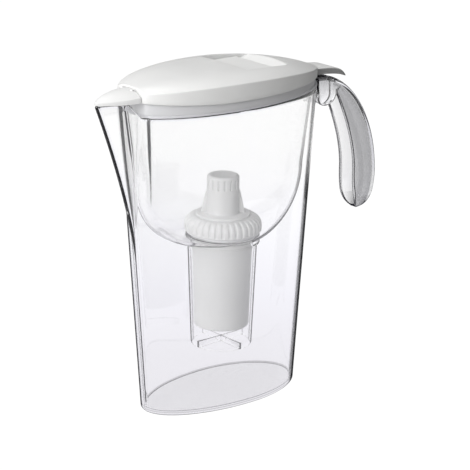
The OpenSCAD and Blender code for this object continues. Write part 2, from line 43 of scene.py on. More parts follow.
print("frame loaded")

millimetre = 0.001
tau = 2 * math.pi


# Small helpers for numbers and meshes

def blendValue(a, b, t):
    return a + (b - a) * t


def smoothStep(low, high, x):
    t = np.clip((x - low) / (high - low), 0, 1)
    return t * t * (3 - 2 * t)


def softMin(a, b, radius):
    # The smaller of two values, rounded over where they cross
    h = np.clip(0.5 + 0.5 * (b - a) / radius, 0, 1)
    return b + (a - b) * h - radius * h * (1 - h)


def bezierCurve(points, count):
    t = np.linspace(0, 1, count)[:, None]
    p = np.array(points, float)
    return (1 - t) ** 3 * p[0] + 3 * (1 - t) ** 2 * t * p[1] + 3 * (1 - t) * t * t * p[2] + t ** 3 * p[3]


def resample(path, count):
    # The same path, as evenly spaced points
    run = np.concatenate([[0], np.cumsum(np.linalg.norm(np.diff(path, axis=0), axis=1))])
    want = np.linspace(0, run[-1], count)
    return np.stack([np.interp(want, run, path[:, i]) for i in range(path.shape[1])], axis=1)


def makePiece(name, vertices, faces, body, sharpDegrees=32):
    mesh = bpy.data.meshes.new(name)
    mesh.from_pydata((np.asarray(vertices) * millimetre).tolist(), [], faces)
    mesh.validate()
    mesh.shade_smooth()
    mesh.set_sharp_from_angle(angle=math.radians(sharpDegrees))
    piece = bpy.data.objects.new(name, mesh)
    scene.collection.objects.link(piece)
    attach(piece, body)
    return piece


def gridFaces(rows, columns, closeRows):
    # Quads between neighbouring rows of a grid of points, each of which is a closed loop
    r = np.arange(rows if closeRows else rows - 1)[:, None]
    c = np.arange(columns)[None, :]
    r2, c2 = (r + 1) % rows, (c + 1) % columns
    quads = np.stack([r * columns + c, r * columns + c2, r2 * columns + c2, r2 * columns + c], axis=-1)
    return quads.reshape(-1, 4).tolist()


def signedVolume(vertices, faces):
    total = 0.0
    for size in (3, 4):
        group = np.array([f for f in faces if len(f) == size])
        if len(group):
            for k in range(1, size - 1):
                a, b, c = (vertices[group[:, i]] for i in (0, k, k + 1))
                total += np.einsum("ij,ij->i", a, np.cross(b, c)).sum()
    return total / 6


def loopSolid(name, loops, body, closed=True, sharpDegrees=32):
    # A solid from closed loops of points. closed joins the last loop to the first, as on a ring;
    # otherwise the first and the last loop are each drawn together in one point.
    loops = np.asarray(loops, float)
    rows, columns = loops.shape[:2]
    vertices = loops.reshape(-1, 3)
    faces = gridFaces(rows, columns, closed)
    if not closed:
        vertices = np.vstack([vertices, loops[0].mean(0), loops[-1].mean(0)])
        ring = np.arange(columns)
        nextRing = (ring + 1) % columns
        faces += np.stack([nextRing, ring, np.full(columns, rows * columns)], 1).tolist()
        last = (rows - 1) * columns
        faces += np.stack([last + ring, last + nextRing, np.full(columns, rows * columns + 1)], 1).tolist()
    if signedVolume(vertices, faces) < 0:
        faces = [f[::-1] for f in faces]
    return makePiece(name, vertices, faces, body, sharpDegrees)


def turned(profile, count, centre=(0, 0)):
    # The loops of a profile of (radius, height) turned round an upright axis
    angle = np.linspace(0, tau, count, endpoint=False)
    profile = np.asarray(profile, float)
    x = centre[0] + profile[:, :1] * np.cos(angle)
    y = centre[1] + profile[:, :1] * np.sin(angle)
    return np.stack([x, y, np.broadcast_to(profile[:, 1:], x.shape)], axis=-1)


def lifted(flat, z):
    # The points of a plan, at one height or at a height for each
    return np.column_stack([flat, np.broadcast_to(z, len(flat))])


def outwardNormals(outline):
    # Unit normals of a closed outline, pointing away from its middle
    tangent = np.roll(outline, -1, 0) - np.roll(outline, 1, 0)
    normal = np.stack([tangent[:, 1], -tangent[:, 0]], axis=1) / np.maximum(
        np.linalg.norm(tangent, axis=1), 1e-9)[:, None]
    return normal if ((outline - outline.mean(0)) * normal).sum() >= 0 else -normal


def roundedPath(points, radii, steps=6, closed=True):
    # A polygon whose corners are rounded over by quadratic arcs
    points = [np.array(p, float) for p in points]
    out = []
    for i, corner in enumerate(points):
        radius = radii[i] if hasattr(radii, "__len__") else radii
        if not closed and i in (0, len(points) - 1) or radius <= 0:
            out.append(corner)
            continue
        before, after = points[i - 1] - corner, points[(i + 1) % len(points)] - corner
        cut = min(radius, 0.49 * np.linalg.norm(before), 0.49 * np.linalg.norm(after))
        a = corner + before / np.linalg.norm(before) * cut
        b = corner + after / np.linalg.norm(after) * cut
        for t in np.linspace(0, 1, steps):
            out.append((1 - t) ** 2 * a + 2 * t * (1 - t) * corner + t * t * b)
    return np.array(out)


# Colours and materials

def srgb(hexColour):
    # The linear colour of an sRGB hex value
    channels = np.array([int(hexColour[i:i + 2], 16) / 255 for i in (1, 3, 5)])
    linear = np.where(channels <= 0.04045, channels / 12.92, ((channels + 0.055) / 1.055) ** 2.4)
    return (*linear.tolist(), 1.0)


def addNode(tree, kind, inputs=None, **settings):
    # A shader node of that kind. An input is a value, a socket, or a node whose first output is meant.
    added = tree.nodes.new("ShaderNode" + kind)
    for key, value in settings.items():
        setattr(added, key, value)
    for key, value in (inputs or {}).items():
        if isinstance(value, bpy.types.Node):
            value = value.outputs[0]
        if isinstance(value, bpy.types.NodeSocket):
            tree.links.new(value, added.inputs[key])
        else:
            added.inputs[key].default_value = value
    return added


def colourRamp(tree, factor, stops, interpolation="LINEAR"):
    ramp = addNode(tree, "ValToRGB", {"Fac": factor})
    ramp.color_ramp.interpolation = interpolation
    elements = ramp.color_ramp.elements
    while len(elements) > 1:
        elements.remove(elements[-1])
    elements[0].position, elements[0].color = stops[0]
    for position, colour in stops[1:]:
        elements.new(position).color = colour
    return ramp.outputs["Color"]


def newMaterial(name):
    material = bpy.data.materials.new(name)
    material.use_nodes = True
    tree = material.node_tree
    tree.nodes.clear()
    return material, tree


def uprightShare(tree):
    # How far the surface's normal points up, from -1 to 1
    normal = addNode(tree, "NewGeometry").outputs["Normal"]
    return addNode(tree, "SeparateXYZ", {"Vector": normal}).outputs["Z"]


def lookingRays(tree):
    # The light path's outputs, and a mask of the rays that look straight or through clear plastic
    path = addNode(tree, "LightPath").outputs
    seen = path["Is Camera Ray"]
    for kind in ("Is Transmission Ray", "Is Singular Ray"):
        seen = addNode(tree, "Math", {0: seen, 1: path[kind]}, operation="MAXIMUM").outputs[0]
    return path, seen


def clearPlastic(name, spec):
    # Clear SAN, injection moulded and polished. A wall seen edge-on is painted dark by mixing in a near-black
    # diffuse, painted shade for the darkness seen there at a slant; so are thickened corners and other lines
    # given a painted shade mark.
    material, tree = newMaterial(name)
    facing = addNode(tree, "LayerWeight", {"Blend": 0.5}).outputs["Facing"]
    level = addNode(tree, "Math", {0: uprightShare(tree)}, operation="ABSOLUTE")
    wall = addNode(tree, "MapRange", {
        "Value": level, "From Min": 0.35, "From Max": 0.85, "To Min": 1.0, "To Max": spec["flat"]})
    start, end, dark = spec["dark"]
    edge = addNode(tree, "MapRange", {
        "Value": facing, "From Min": start, "From Max": end, "To Max": dark}, interpolation_type="SMOOTHSTEP")
    edge = addNode(tree, "Math", {0: edge, 1: wall}, operation="MULTIPLY")
    # edgeEase lowers that where the photo shows a wall that stays clear
    ease = addNode(tree, "Attribute", attribute_name="edgeEase").outputs["Fac"]
    kept = addNode(tree, "Math", {0: 1.0, 1: ease}, operation="SUBTRACT")
    edge = addNode(tree, "Math", {0: edge, 1: kept}, operation="MULTIPLY")
    corner = addNode(tree, "Attribute", attribute_name="thickEdge").outputs["Fac"]
    depth = addNode(tree, "Math", {0: edge, 1: corner}, operation="MAXIMUM")
    plastic = addNode(tree, "BsdfPrincipled", {
        "Base Color": srgb(spec["face"]), "Roughness": 0.0, "IOR": 1.57, "Specular IOR Level": 0.14,
        "Transmission Weight": 1.0})
    # Painted shade: a near-black diffuse, mixed in where the clear plastic is to look dark
    paintedShadeDiffuse = addNode(tree, "BsdfDiffuse", {"Color": srgb(spec["edge"])})
    body = addNode(tree, "MixShader", {0: depth, 1: plastic, 2: paintedShadeDiffuse})
    frosted = addNode(tree, "BsdfDiffuse", {"Color": srgb("#DEDEE2")})
    milky = addNode(tree, "Attribute", attribute_name="milky").outputs["Fac"]
    body = addNode(tree, "MixShader", {0: milky, 1: body, 2: frosted})
    path = addNode(tree, "LightPath")
    passing = addNode(tree, "Math", {
        0: path.outputs["Is Shadow Ray"], 1: path.outputs["Is Diffuse Ray"]}, operation="MAXIMUM")
    clear = addNode(tree, "BsdfTransparent", {"Color": srgb(spec["shade"])})
    mixed = addNode(tree, "MixShader", {0: passing, 1: body, 2: clear})
    addNode(tree, "OutputMaterial", {"Surface": mixed})
    return material


def mouldedPlastic(name, spec):
    # White or grey polypropylene, moulded: soft sheen, a fine even grain and hardly any colour change
    material, tree = newMaterial(name)
    coordinates = addNode(tree, "TexCoord").outputs["Object"]
    cloud = addNode(tree, "TexNoise", {
        "Vector": coordinates, "Scale": 1 / (30 * millimetre), "Detail": 3.0})
    colour = colourRamp(tree, cloud.outputs["Fac"], [(0.3, srgb(spec["dark"])), (0.7, srgb(spec["light"]))])
    if "sideShade" in spec:
        # Upright faces of this piece lie in the shade of what stands round it
        shade = addNode(tree, "MapRange", {
            "Value": uprightShare(tree), "From Min": 0.35, "From Max": 0.85, "To Min": spec["sideShade"],
            "To Max": 0.92})
        colour = addNode(tree, "VectorMath", {
            0: colour, "Scale": shade}, operation="SCALE").outputs["Vector"]
    grain = addNode(tree, "TexNoise", {
        "Vector": coordinates, "Scale": 1 / (spec.get("grain", 0.35) * millimetre), "Detail": 2.0})
    sheen = addNode(tree, "MapRange", {
        "Value": cloud.outputs["Fac"], "To Min": spec["roughness"] - 0.04, "To Max": spec["roughness"] + 0.04})
    bump = addNode(tree, "Bump", {
        "Height": grain.outputs["Fac"], "Strength": spec.get("bump", 0.08), "Distance": 0.2 * millimetre})
    # The emission is painted light: a white glow that lifts the piece's shaded faces
    plastic = addNode(tree, "BsdfPrincipled", {
        "Base Color": colour, "Roughness": sheen, "IOR": 1.49,
        "Normal": bump, "Subsurface Weight": spec.get("glow", 0.0),
        "Subsurface Radius": (1.0, 1.0, 1.0), "Subsurface Scale": 6 * millimetre,
        "Emission Color": (1, 1, 1, 1), "Emission Strength": spec.get("paintedGlow", 0.0)})
    addNode(tree, "OutputMaterial", {"Surface": plastic})
    return material


def feltDisc(name):
    # Pressed polyester felt: matt, with a fibre cloud of about 0.4 mm
    material, tree = newMaterial(name)
    coordinates = addNode(tree, "TexCoord").outputs["Object"]
    fibres = addNode(tree, "TexNoise", {
        "Vector": coordinates, "Scale": 1 / (0.4 * millimetre), "Detail": 4.0})
    colour = colourRamp(tree, fibres.outputs["Fac"], [(0.3, srgb("#C9C8C4")), (0.7, srgb("#F0EFEC"))])
    bump = addNode(tree, "Bump", {
        "Height": fibres.outputs["Fac"], "Strength": 0.6, "Distance": 0.3 * millimetre})
    felt = addNode(tree, "BsdfPrincipled", {
        "Base Color": colour, "Roughness": 0.95, "Normal": bump})
    addNode(tree, "OutputMaterial", {"Surface": felt})
    return material


def granuleBed(name):
    # Activated carbon and resin beads of about 0.9 mm, poured loose
    material, tree = newMaterial(name)
    coordinates = addNode(tree, "TexCoord").outputs["Object"]
    cells = addNode(tree, "TexVoronoi", {"Vector": coordinates, "Scale": 1 / (0.9 * millimetre)})
    colour = colourRamp(tree, addNode(tree, "SeparateColor", {
        "Color": cells.outputs["Color"]}).outputs[0],
        [(0.0, srgb("#1A1A1B")), (0.72, srgb("#2A2928")), (0.74, srgb("#B9A57E")), (1.0, srgb("#CDBB96"))],
        "CONSTANT")
    bump = addNode(tree, "Bump", {
        "Height": cells.outputs["Distance"], "Strength": 0.9, "Distance": 0.5 * millimetre}, invert=True)
    granules = addNode(tree, "BsdfPrincipled", {
        "Base Color": colour, "Roughness": 0.7, "Normal": bump})
    addNode(tree, "OutputMaterial", {"Surface": granules})
    return material


# dark is where the painted shade on an edge-on wall starts and ends, and how dark it gets; edge is that painted
# shade's colour; flat is how much of it a level face keeps; shade is the tint of the light that passes through
jugPlastic = clearPlastic("sanClearJug", {
    "face": "#FFFFFF", "edge": "#141419", "dark": (0.64, 0.8, 0.96), "flat": 0.05, "shade": "#FAFAFA"})
hopperPlastic = clearPlastic("sanClearHopper", {
    "face": "#FFFFFF", "edge": "#1B1B22", "dark": (0.68, 0.86, 0.95), "flat": 0.05, "shade": "#FBFBFB"})
handlePlastic = clearPlastic("sanClearHandle", {
    "face": "#FEFEFF", "edge": "#2A2832", "dark": (0.62, 0.88, 0.9), "flat": 0.3, "shade": "#F0F0F2"})
lidPlastic = mouldedPlastic("polypropyleneWhiteLid", {"light": "#E2E2E1", "dark": "#DEDEDD", "roughness": 0.42})
flapPlastic = mouldedPlastic("polypropyleneWhiteFlap", {
    "light": "#E5E5E4", "dark": "#E1E1E0", "roughness": 0.45})
# Painted light: the cover's grey base glows white, which lifts its shaded side
coverPlastic = mouldedPlastic("polypropyleneWhiteCover", {
    "light": "#C2C2C1", "dark": "#BEBEBD", "roughness": 0.45, "paintedGlow": 0.24})
# The tab's own copy of the lid's white, with painted shade on its upright faces
tabPlastic = mouldedPlastic("polypropyleneWhiteTabPaintedShade", {
    "light": "#EEEEED", "dark": "#EAEAE9", "roughness": 0.42, "sideShade": 0.36})
# The liner is greyer than the lid, painted shade from the skirt over it
linerPlastic = mouldedPlastic("polypropyleneLinerPaintedShade", {
    "light": "#D0D0D2", "dark": "#CCCCCE", "roughness": 0.4})
# Painted light and shade: the cartridge's colour is set darker for the dimmer light inside the jug, and it
# glows a little, which lifts its shaded side
cartridgePlastic = mouldedPlastic("polypropyleneCartridge", {
    "light": "#D2D2D2", "dark": "#CCCCCC", "grain": 0.5, "bump": 0.12, "roughness": 0.5, "glow": 0.5,
    "paintedGlow": 0.08})
sealRubber = mouldedPlastic("siliconeSeal", {
    "light": "#E8E8EA", "dark": "#E0E0E3", "grain": 0.6, "bump": 0.05, "roughness": 0.65})
print("materials made")


def dress(piece, material, slot, *nodes):
    piece.data.materials.clear()
    piece.data.materials.append(material)
    if nodes:
        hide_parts(*nodes)


for nodeName, material in {
        "cartridge_seal": sealRubber, "upper_screen": feltDisc("polyesterFeltUpper"),
        "lower_screen": feltDisc("polyesterFeltLower"), "filter_media": granuleBed("carbonGranules")}.items():
    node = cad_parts[nodeName]
    node.data.materials.clear()
    node.data.materials.append(material)


# Jug: an oval wall that widens upward, with a beak in front of it. An oval is given by its reach forward
# and back from x = 0, its half width, and the x of its middle.

jug = {"rimHeight": 230, "baseOval": (69.5, 68, 36, 8), "rimOval": (88, 86.5, 41, 0), "wall": 2.5,
       "floor": 3, "footRound": 2.2, "floorRound": 1.5, "spoutReach": 25, "spoutHalfWidth": 14,
       "spoutFoot": 120, "spoutRise": 10.5, "tipRadius": 2.5, "creaseRound": 1.2, "beakWall": 1.15}
jug["lip"] = jug["rimHeight"] + jug["spoutRise"]
jug["beakSlope"] = (jug["spoutReach"] + jug["rimOval"][0] * (1 - math.sqrt(
    1 - (jug["spoutHalfWidth"] / jug["rimOval"][2]) ** 2))) / (
    math.hypot(jug["spoutHalfWidth"], jug["tipRadius"]) - jug["tipRadius"])
# Angles round the ovals, closer together at the spout
roundAngles = np.concatenate([
    np.radians(np.linspace(-150, 150, 200, endpoint=False)),
    np.radians(np.linspace(150, 210, 160, endpoint=False))])


def ovalAt(low, high, t):
    return [blendValue(a, b, t) for a, b in zip(low, high)]


def ovalPoint(oval, inset, angle):
    # Two half ellipses that meet at the oval's middle
    front, back, half, middle = oval
    reach = np.where(np.cos(angle) < 0, front + middle, back - middle) - inset
    return middle + reach * np.cos(angle), (half - inset) * np.sin(angle)


def beakX(height, front, y, inset):
    # Where the beak's wall lies at that height and distance from the middle
    grown = np.clip((height - jug["spoutFoot"]) / (jug["lip"] - jug["spoutFoot"]), 0, 1)
    tip = jug["tipRadius"]
    return (-front - jug["spoutReach"] * grown ** 1.5 + jug["beakWall"] * inset
            + jug["beakSlope"] * (np.sqrt(y * y + tip * tip) - tip))


def jugWall(height, angle, inset):
    # The oval at that height, drawn forward to the beak where the beak stands further out
    oval = ovalAt(jug["baseOval"], jug["rimOval"], height / jug["rimHeight"])
    x, y = ovalPoint(oval, inset, angle)
    x = np.where(np.cos(angle) < 0, softMin(x, beakX(height, oval[0], y, inset), jug["creaseRound"]), x)
    return np.stack(np.broadcast_arrays(x, y, height + 0 * x), axis=-1)


def jugLip(angle):
    # The rim's height, which steps up at the beak
    side = np.abs(jug["rimOval"][2] * np.sin(angle))
    rise = smoothStep(0, 1, (jug["spoutHalfWidth"] - 1 - side) / 3)
    return jug["rimHeight"] + np.where(np.cos(angle) < 0, jug["spoutRise"] * rise, 0)


def makeJug():
    angle = roundAngles[None, :]
    lip = jugLip(angle)
    foot, wall, corner, close = jug["footRound"], jug["wall"], jug["floorRound"], 2.4
    inside = jug["floor"] + corner
    arc = np.linspace(0, math.pi / 2, 7)[:, None]
    rise = np.linspace(0, 1, 90)[1:, None]
    turn = np.linspace(0, math.pi, 9)[1:-1, None]
    bend = np.linspace(0, math.pi / 2, 9)[:, None]
    near = np.linspace(0.4, close, 6)[:, None]
    loops = [
        jugWall(0 * arc, angle, foot + 6 - 6 * arc / arc.max()),          # the underside, toward its edge
        jugWall(foot * (1 - np.cos(arc)), angle, foot * (1 - np.sin(arc))),
        jugWall(foot + near, angle, 0 * near),                            # closer rows above the rounding
        jugWall(foot + close + rise * (lip - wall / 2 - foot - close), angle, 0 * rise),
        jugWall(lip - wall / 2 + wall / 2 * np.sin(turn), angle, wall / 2 * (1 - np.cos(turn))),
        jugWall(lip - wall / 2 + rise[:-1] * (inside - lip + wall / 2), angle, wall + 0 * rise[:-1]),
        jugWall(inside - corner * np.sin(bend), angle, wall + corner * (1 - np.cos(bend)))]
    return loopSolid("jugWall", np.concatenate(loops), "jug", closed=False)


def storeMark(piece, name, values):
    # One value for each vertex, which the material reads
    attribute = piece.data.attributes.new(name, "FLOAT", "POINT")
    attribute.data.foreach_set("value", np.ascontiguousarray(values))


def pieceMarks(piece, **rules):
    # Marks worked out from where each vertex lies: how much painted shade, or how cloudy the plastic looks
    # there
    points = np.empty(len(piece.data.vertices) * 3)
    piece.data.vertices.foreach_get("co", points)
    x, y, z = (points.reshape(-1, 3) / millimetre).T
    for name, rule in rules.items():
        storeMark(piece, name, rule(x, y, z))


def ridgeMark(value, middle, width):
    # 1 on a line, fading away from it over width
    return np.exp(-((value - middle) / width) ** 2)


def beakGap(x, y, z, inset):
    # How far the beak stands out of the oval there, and how far the point lies behind the wall's outside
    front, _, half, middle = ovalAt(jug["baseOval"], jug["rimOval"], z / jug["rimHeight"])
    across = np.sqrt(np.clip(1 - (y / (half - inset)) ** 2, 0, 1))
    ovalX = middle - (front + middle - inset) * across
    beak = beakX(z, front, y, inset)
    return ovalX - beak, x - np.minimum(ovalX, beak)


def jugMarks(x, y, z):
    # Painted shade lines: the standing edge, the top of its rounding, the floor's inner corner, and the beak's
    # creases
    oval = jug["baseOval"]
    reach = np.where(x < oval[3], oval[0] + oval[3], oval[1] - oval[3])
    rho = np.hypot((x - oval[3]) / reach, y / oval[2])
    outside = rho > 0.965
    foot = 0.8 * ridgeMark(z, 0.5, 0.45) * outside + 0.35 * ridgeMark(z, 2.9, 0.4) * outside
    foot = foot + 0.4 * ridgeMark(z, 3.5, 0.5) * ~outside
    gapOut, behind = beakGap(x, y, z, 0.0)
    gapIn, _ = beakGap(x, y, z, jug["wall"])
    crease = np.where(behind < 1.2, ridgeMark(gapOut, 0, 1.5), ridgeMark(gapIn, 0, 1.5))
    crease = 0.5 * crease * (x < -60) * (y > 2) * smoothStep(150, 175, z)
    nose = 0.8 * ridgeMark(y, -1.3, 0.3) * (behind < 1.2) * (x < -80) * smoothStep(135, 160, z)
    return np.maximum(np.maximum(foot, crease), nose)


def jugEase(x, y, z):
    # The nose, the walls beside it and the wall at the handle stay clear, though they are seen at a slant;
    # one thin line down the nose doesn't
    _, behind = beakGap(x, y, z, 0.0)
    line = (behind < 1.2) & (y > 0.1) & (y < 1.7)
    nose = (1 - smoothStep(3, 6, np.abs(y))) * np.where(line, 0.1, 1.0) * smoothStep(125, 150, z)
    beside = 0.97 * smoothStep(1.6, 3, y) * (1 - smoothStep(30, 37, y)) * smoothStep(150, 180, z)
    rear = 0.93 * (x > 55) * smoothStep(150, 190, z)
    return np.where(x < -50, np.maximum(nose, beside), rear)


jugWallPiece = makeJug()
pieceMarks(jugWallPiece, thickEdge=jugMarks, edgeEase=jugEase)
dress(jugWallPiece, jugPlastic, "clear_plastic", "jug_body")
print("jug made")


# Handle: a U-shaped channel that opens toward the jug, held by a bracket

handle = {"width": 18, "wall": 3, "left": 88.3, "top": 233.8, "gripX": 151.9, "gripZ": 150, "depth": 24.5,
          "foot": 120, "bracketX": 106.3, "bracketLow": 207, "corner": 3.2, "innerCorner": 1.5, "footTaper": 15,
          "webShade": 0.32}


def handleSides(count):
    # The channel's back and its open edge, as matching points in x and z
    h = handle
    left, right, foot, grip = h["left"], h["bracketX"], h["foot"], h["gripX"]
    inner = grip - h["depth"]
    back = np.vstack([
        bezierCurve([(left, h["top"]), (left + 30, h["top"]), (grip - 2, 200), (grip, h["gripZ"])], 60),
        bezierCurve([(grip, h["gripZ"]), (grip, foot + 14), (grip - 5, foot), (grip - 15, foot)], 30)[1:]])
    lobe = bezierCurve([(left, 216), (left, h["bracketLow"]), (right, h["bracketLow"]), (right, 218)], 30)
    edge = np.vstack([
        bezierCurve([(right, 220), (right + 8, 204), (inner, foot + 58), (inner, foot + 33)], 40),
        bezierCurve([(inner, foot + 33), (inner, foot + 18), (inner + 1.5, foot + 5),
                     (grip - 15, foot)], 24)[1:]])
    # About a fifth of the rows lie over the bracket
    split = np.searchsorted(back[:, 0], right + 5)
    first = int(count * 0.22)
    backPoints = np.vstack([resample(back[:split + 1], first), resample(back[split:], count - first + 1)[1:]])
    return backPoints, np.vstack([resample(lobe, first), resample(edge, count - first)])


def makeHandle():
    h = handle
    back, edge = handleSides(140)
    toEdge = edge - back
    depth = np.linalg.norm(toEdge, axis=1)[:, None]
    toEdge = toEdge / np.maximum(depth, 1e-6)
    toEdge[-1] = toEdge[-2]
    half, wall, r, r2 = h["width"] / 2, h["wall"], h["corner"], h["innerCorner"]
    middle = 0.5 * (back + edge)
    run = np.concatenate([[0], np.cumsum(np.linalg.norm(np.diff(middle, axis=0), axis=1))])
    narrow = np.sqrt(1 - 0.9 * np.clip(1 - (run[-1] - run) / h["footTaper"], 0, 1) ** 2)
    # The channel's section: how far it lies across (y), and how far toward the open edge
    corner, lip = np.linspace(0, math.pi / 2, 7), np.linspace(0, math.pi, 7)
    outer = np.stack([-half + r * (1 - np.cos(corner)), r * (1 - np.sin(corner))], axis=1)
    inner = np.stack([-half + wall + r2 * (1 - np.cos(corner)), wall + r2 * (1 - np.sin(corner))], axis=1)
    sections = []
    for d, scale in zip(np.maximum(depth[:, 0], 0.8), narrow):
        edgeArc = np.stack([wall / 2 * (1 - np.cos(lip)) - half, d - wall / 2 * (1 - np.sin(lip))], axis=1)
        near = np.vstack([edgeArc[::-1], outer * [1, min(1, d / 6)]])
        near[:, 1] = np.minimum(near[:, 1], d)
        deep = np.minimum(inner, [half, d - wall / 2])
        sections.append(np.vstack([near, near[::-1] * [-1, 1], deep * [-1, 1], deep[::-1]]) * [scale, 1])
    across, down = np.moveaxis(np.array(sections), 2, 0)
    x, z = back[:, :1] + toEdge[:, :1] * down, back[:, 1:] + toEdge[:, 1:] * down
    channel = loopSolid("handleChannel", np.stack([x, across, z], axis=-1), "jug", closed=False,
                        sharpDegrees=50)
    # The back of the channel looks grey, as it is seen at a slant through the near side
    web = (np.abs(across) < half - 0.4) & (down < wall + 2.2)
    storeMark(channel, "thickEdge", np.append(h["webShade"] * web, [0, 0]))
    storeMark(channel, "edgeEase", np.append(0.85 * (x < h["left"] + 8), [0, 0]))
    return channel


def sidePlate(name, outline, width, rounding, body):
    # A plate of that outline in x and z, as thick as width across, with rounded edges
    normal = outwardNormals(outline)
    steps = np.linspace(0, math.pi / 2, 5)
    loops = []
    for side, turns in ((-1, steps[::-1]), (1, steps)):
        for a in turns:
            y = side * (width / 2 - rounding * (1 - math.sin(a)))
            loops.append(np.insert(outline - normal * rounding * (1 - math.cos(a)), 1, y, axis=1))
    return loopSolid(name, loops, body, closed=False, sharpDegrees=40)


handlePiece = makeHandle()
dress(handlePiece, handlePlastic, "clear_plastic", "handle")
bracketLobe = bezierCurve([(handle["bracketX"] - 1.2, 219), (handle["bracketX"] - 1.2, 208.4),
                           (handle["left"] + 1, 208.4), (handle["left"] - 1, 216)], 16)
bracket = sidePlate("handleBracket", np.vstack([[(85.8, 229.6), (104.8, 229.6)], bracketLobe, [(84.6, 217.5)]]),
                    11.8, 1.0, "jug")
pieceMarks(bracket, edgeEase=lambda x, y, z: np.ones(len(x)))         # clear, however it is seen
dress(bracket, handlePlastic, "clear_plastic", "jug_body")
print("handle made")


# Hopper: an oval funnel with a flat front and beaded corners, that curves in to the round well

hopper = {"gap": 1.4, "front": 78, "frontLow": 72.5, "shoulder": 172, "draft": 3.5, "floor": 124, "wall": 2,
          "flange": 1.8, "seatRise": 1.5, "wellX": 2, "collarRadius": 27.5, "bore": 24, "cornerRound": 3.0,
          "bead": 1.0, "beadWidth": 1.5}
hopperInset = jug["wall"] + hopper["gap"]
hopperTopOval = tuple(v - hopperInset for v in jug["rimOval"][:3]) + (0,)
shoulderOval = ovalAt(jug["baseOval"], jug["rimOval"], hopper["shoulder"] / jug["rimHeight"])
hopperLowOval = tuple(v - hopperInset - hopper["draft"] for v in shoulderOval[:3]) + (shoulderOval[3],)


def flatFront(x, y, front, rounding):
    # An outline cut off flat at the front, with rounded corners
    return -softMin(-x, front + 0 * x, rounding), y


def hopperWallAt(height, angle, inset):
    t = (height - hopper["shoulder"]) / (jug["rimHeight"] - hopper["shoulder"])
    x, y = ovalPoint(ovalAt(hopperLowOval, hopperTopOval, t), inset, angle)
    front = blendValue(hopper["frontLow"], hopper["front"], t) - inset
    x, y = flatFront(x, y, front, hopper["cornerRound"])
    return np.stack(np.broadcast_arrays(x, y, height + 0 * x), axis=-1)


def hopperBowlAt(bend, angle, low, inset):
    # The bowl's wall, which bends in from the oval at the shoulder to the round collar of the well
    x, y = ovalPoint(hopperLowOval, inset, angle)
    x, y = flatFront(x, y, hopper["frontLow"] - inset, hopper["cornerRound"])
    cx = hopper["wellX"] + hopper["collarRadius"] * np.cos(angle)
    cy = hopper["collarRadius"] * np.sin(angle)
    z = blendValue(low, hopper["shoulder"], 1 - np.cos(bend)) + 0 * x
    return np.stack([blendValue(cx, x, np.sin(bend)), blendValue(cy, y, np.sin(bend)), z], axis=-1)


def wellCircle(radius, height, angle):
    x = hopper["wellX"] + radius * np.cos(angle)
    return np.stack(np.broadcast_arrays(x, radius * np.sin(angle), height + 0 * x), axis=-1)


def fromFrontCorner(x, y, z):
    # How far a point lies from the nearer front corner at its own height
    t = (z - hopper["shoulder"]) / (jug["rimHeight"] - hopper["shoulder"])
    oval = ovalAt(hopperLowOval, hopperTopOval, t)
    front = blendValue(hopper["frontLow"], hopper["front"], t)
    cornerY = oval[2] * np.sqrt(np.clip(1 - ((oval[3] + front) / (oval[0] + oval[3])) ** 2, 0, 1))
    return np.hypot(x + front, np.abs(y) - cornerY)


def addBeads(points):
    # Rounded ribs down the two front corners, fading out above the shoulder
    x, y, z = points[..., 0], points[..., 1], points[..., 2]
    away = fromFrontCorner(x, y, z)
    height = hopper["bead"] * np.exp(-(away / hopper["beadWidth"]) ** 2) * smoothStep(186, 204, z)
    out = points.copy()
    out[..., 0] -= 0.75 * height                            # outward at the corner's slant
    out[..., 1] += 0.66 * height * np.sign(y)
    return out


def hopperMarks(x, y, z):
    # Painted shade down the two beaded front corners, thicker toward the top
    width = blendValue(1.1, 1.9, smoothStep(165, 215, z))
    along = smoothStep(160, 176, z) * (1 - smoothStep(227, 230, z))
    return 0.95 * (1 - smoothStep(width * 0.4, width, fromFrontCorner(x, y, z))) * along


def hopperEase(x, y, z):
    # Clearer toward the handle, near the top
    return 0.7 * smoothStep(50, 60, x) * smoothStep(170, 200, z)


def hopperMilk(x, y, z):
    # The flange on the rim is cloudy
    return 0.85 * (z > jug["rimHeight"] - 0.2)


def makeHopper():
    a = roundAngles[None, :]
    h = hopper
    rim, high = jug["rimHeight"], h["flange"]
    floorTop = h["floor"] + h["wall"]
    seatTop = floorTop + h["seatRise"]
    bend = np.radians(np.linspace(0, 88, 40))[:, None]
    side = np.linspace(h["shoulder"], rim - 0.8, 40)[:, None]
    rimX, rimY = flatFront(*ovalPoint(jug["rimOval"], 0, a), h["front"] + 1.5, 2.0)
    wallTop = hopperWallAt(np.array([[float(rim)]]), a, 0)
    flange = []
    for outward, up in [(0, 0), (0.5, 0), (0.97, 0), (1, 0.25), (1, high - 0.4), (0.96, high), (0.5, high),
                        (0.12, high)]:
        x = blendValue(wallTop[..., 0], rimX, outward)
        flange.append(np.stack([x, blendValue(wallTop[..., 1], rimY, outward), rim + up + 0 * x], axis=-1))
    loops = [
        wellCircle(h["bore"], np.array([[seatTop - 0.3], [h["floor"] + 0.3], [h["floor"]]]), a),
        hopperBowlAt(bend, a, h["floor"], 0),
        addBeads(hopperWallAt(side, a, 0)),
        *flange,
        hopperWallAt(side[::-1], a, h["wall"]),
        hopperBowlAt(bend[::-1], a, floorTop, h["wall"])[:-1],
        wellCircle(h["collarRadius"] - 0.5, np.array([[floorTop + 0.2], [seatTop - 0.3]]), a),
        wellCircle(h["collarRadius"] - 0.8, np.array([[seatTop]]), a),
        wellCircle(h["bore"] + 0.3, np.array([[seatTop]]), a)]
    return loopSolid("hopperShell", np.concatenate(loops), "hopper_unit")


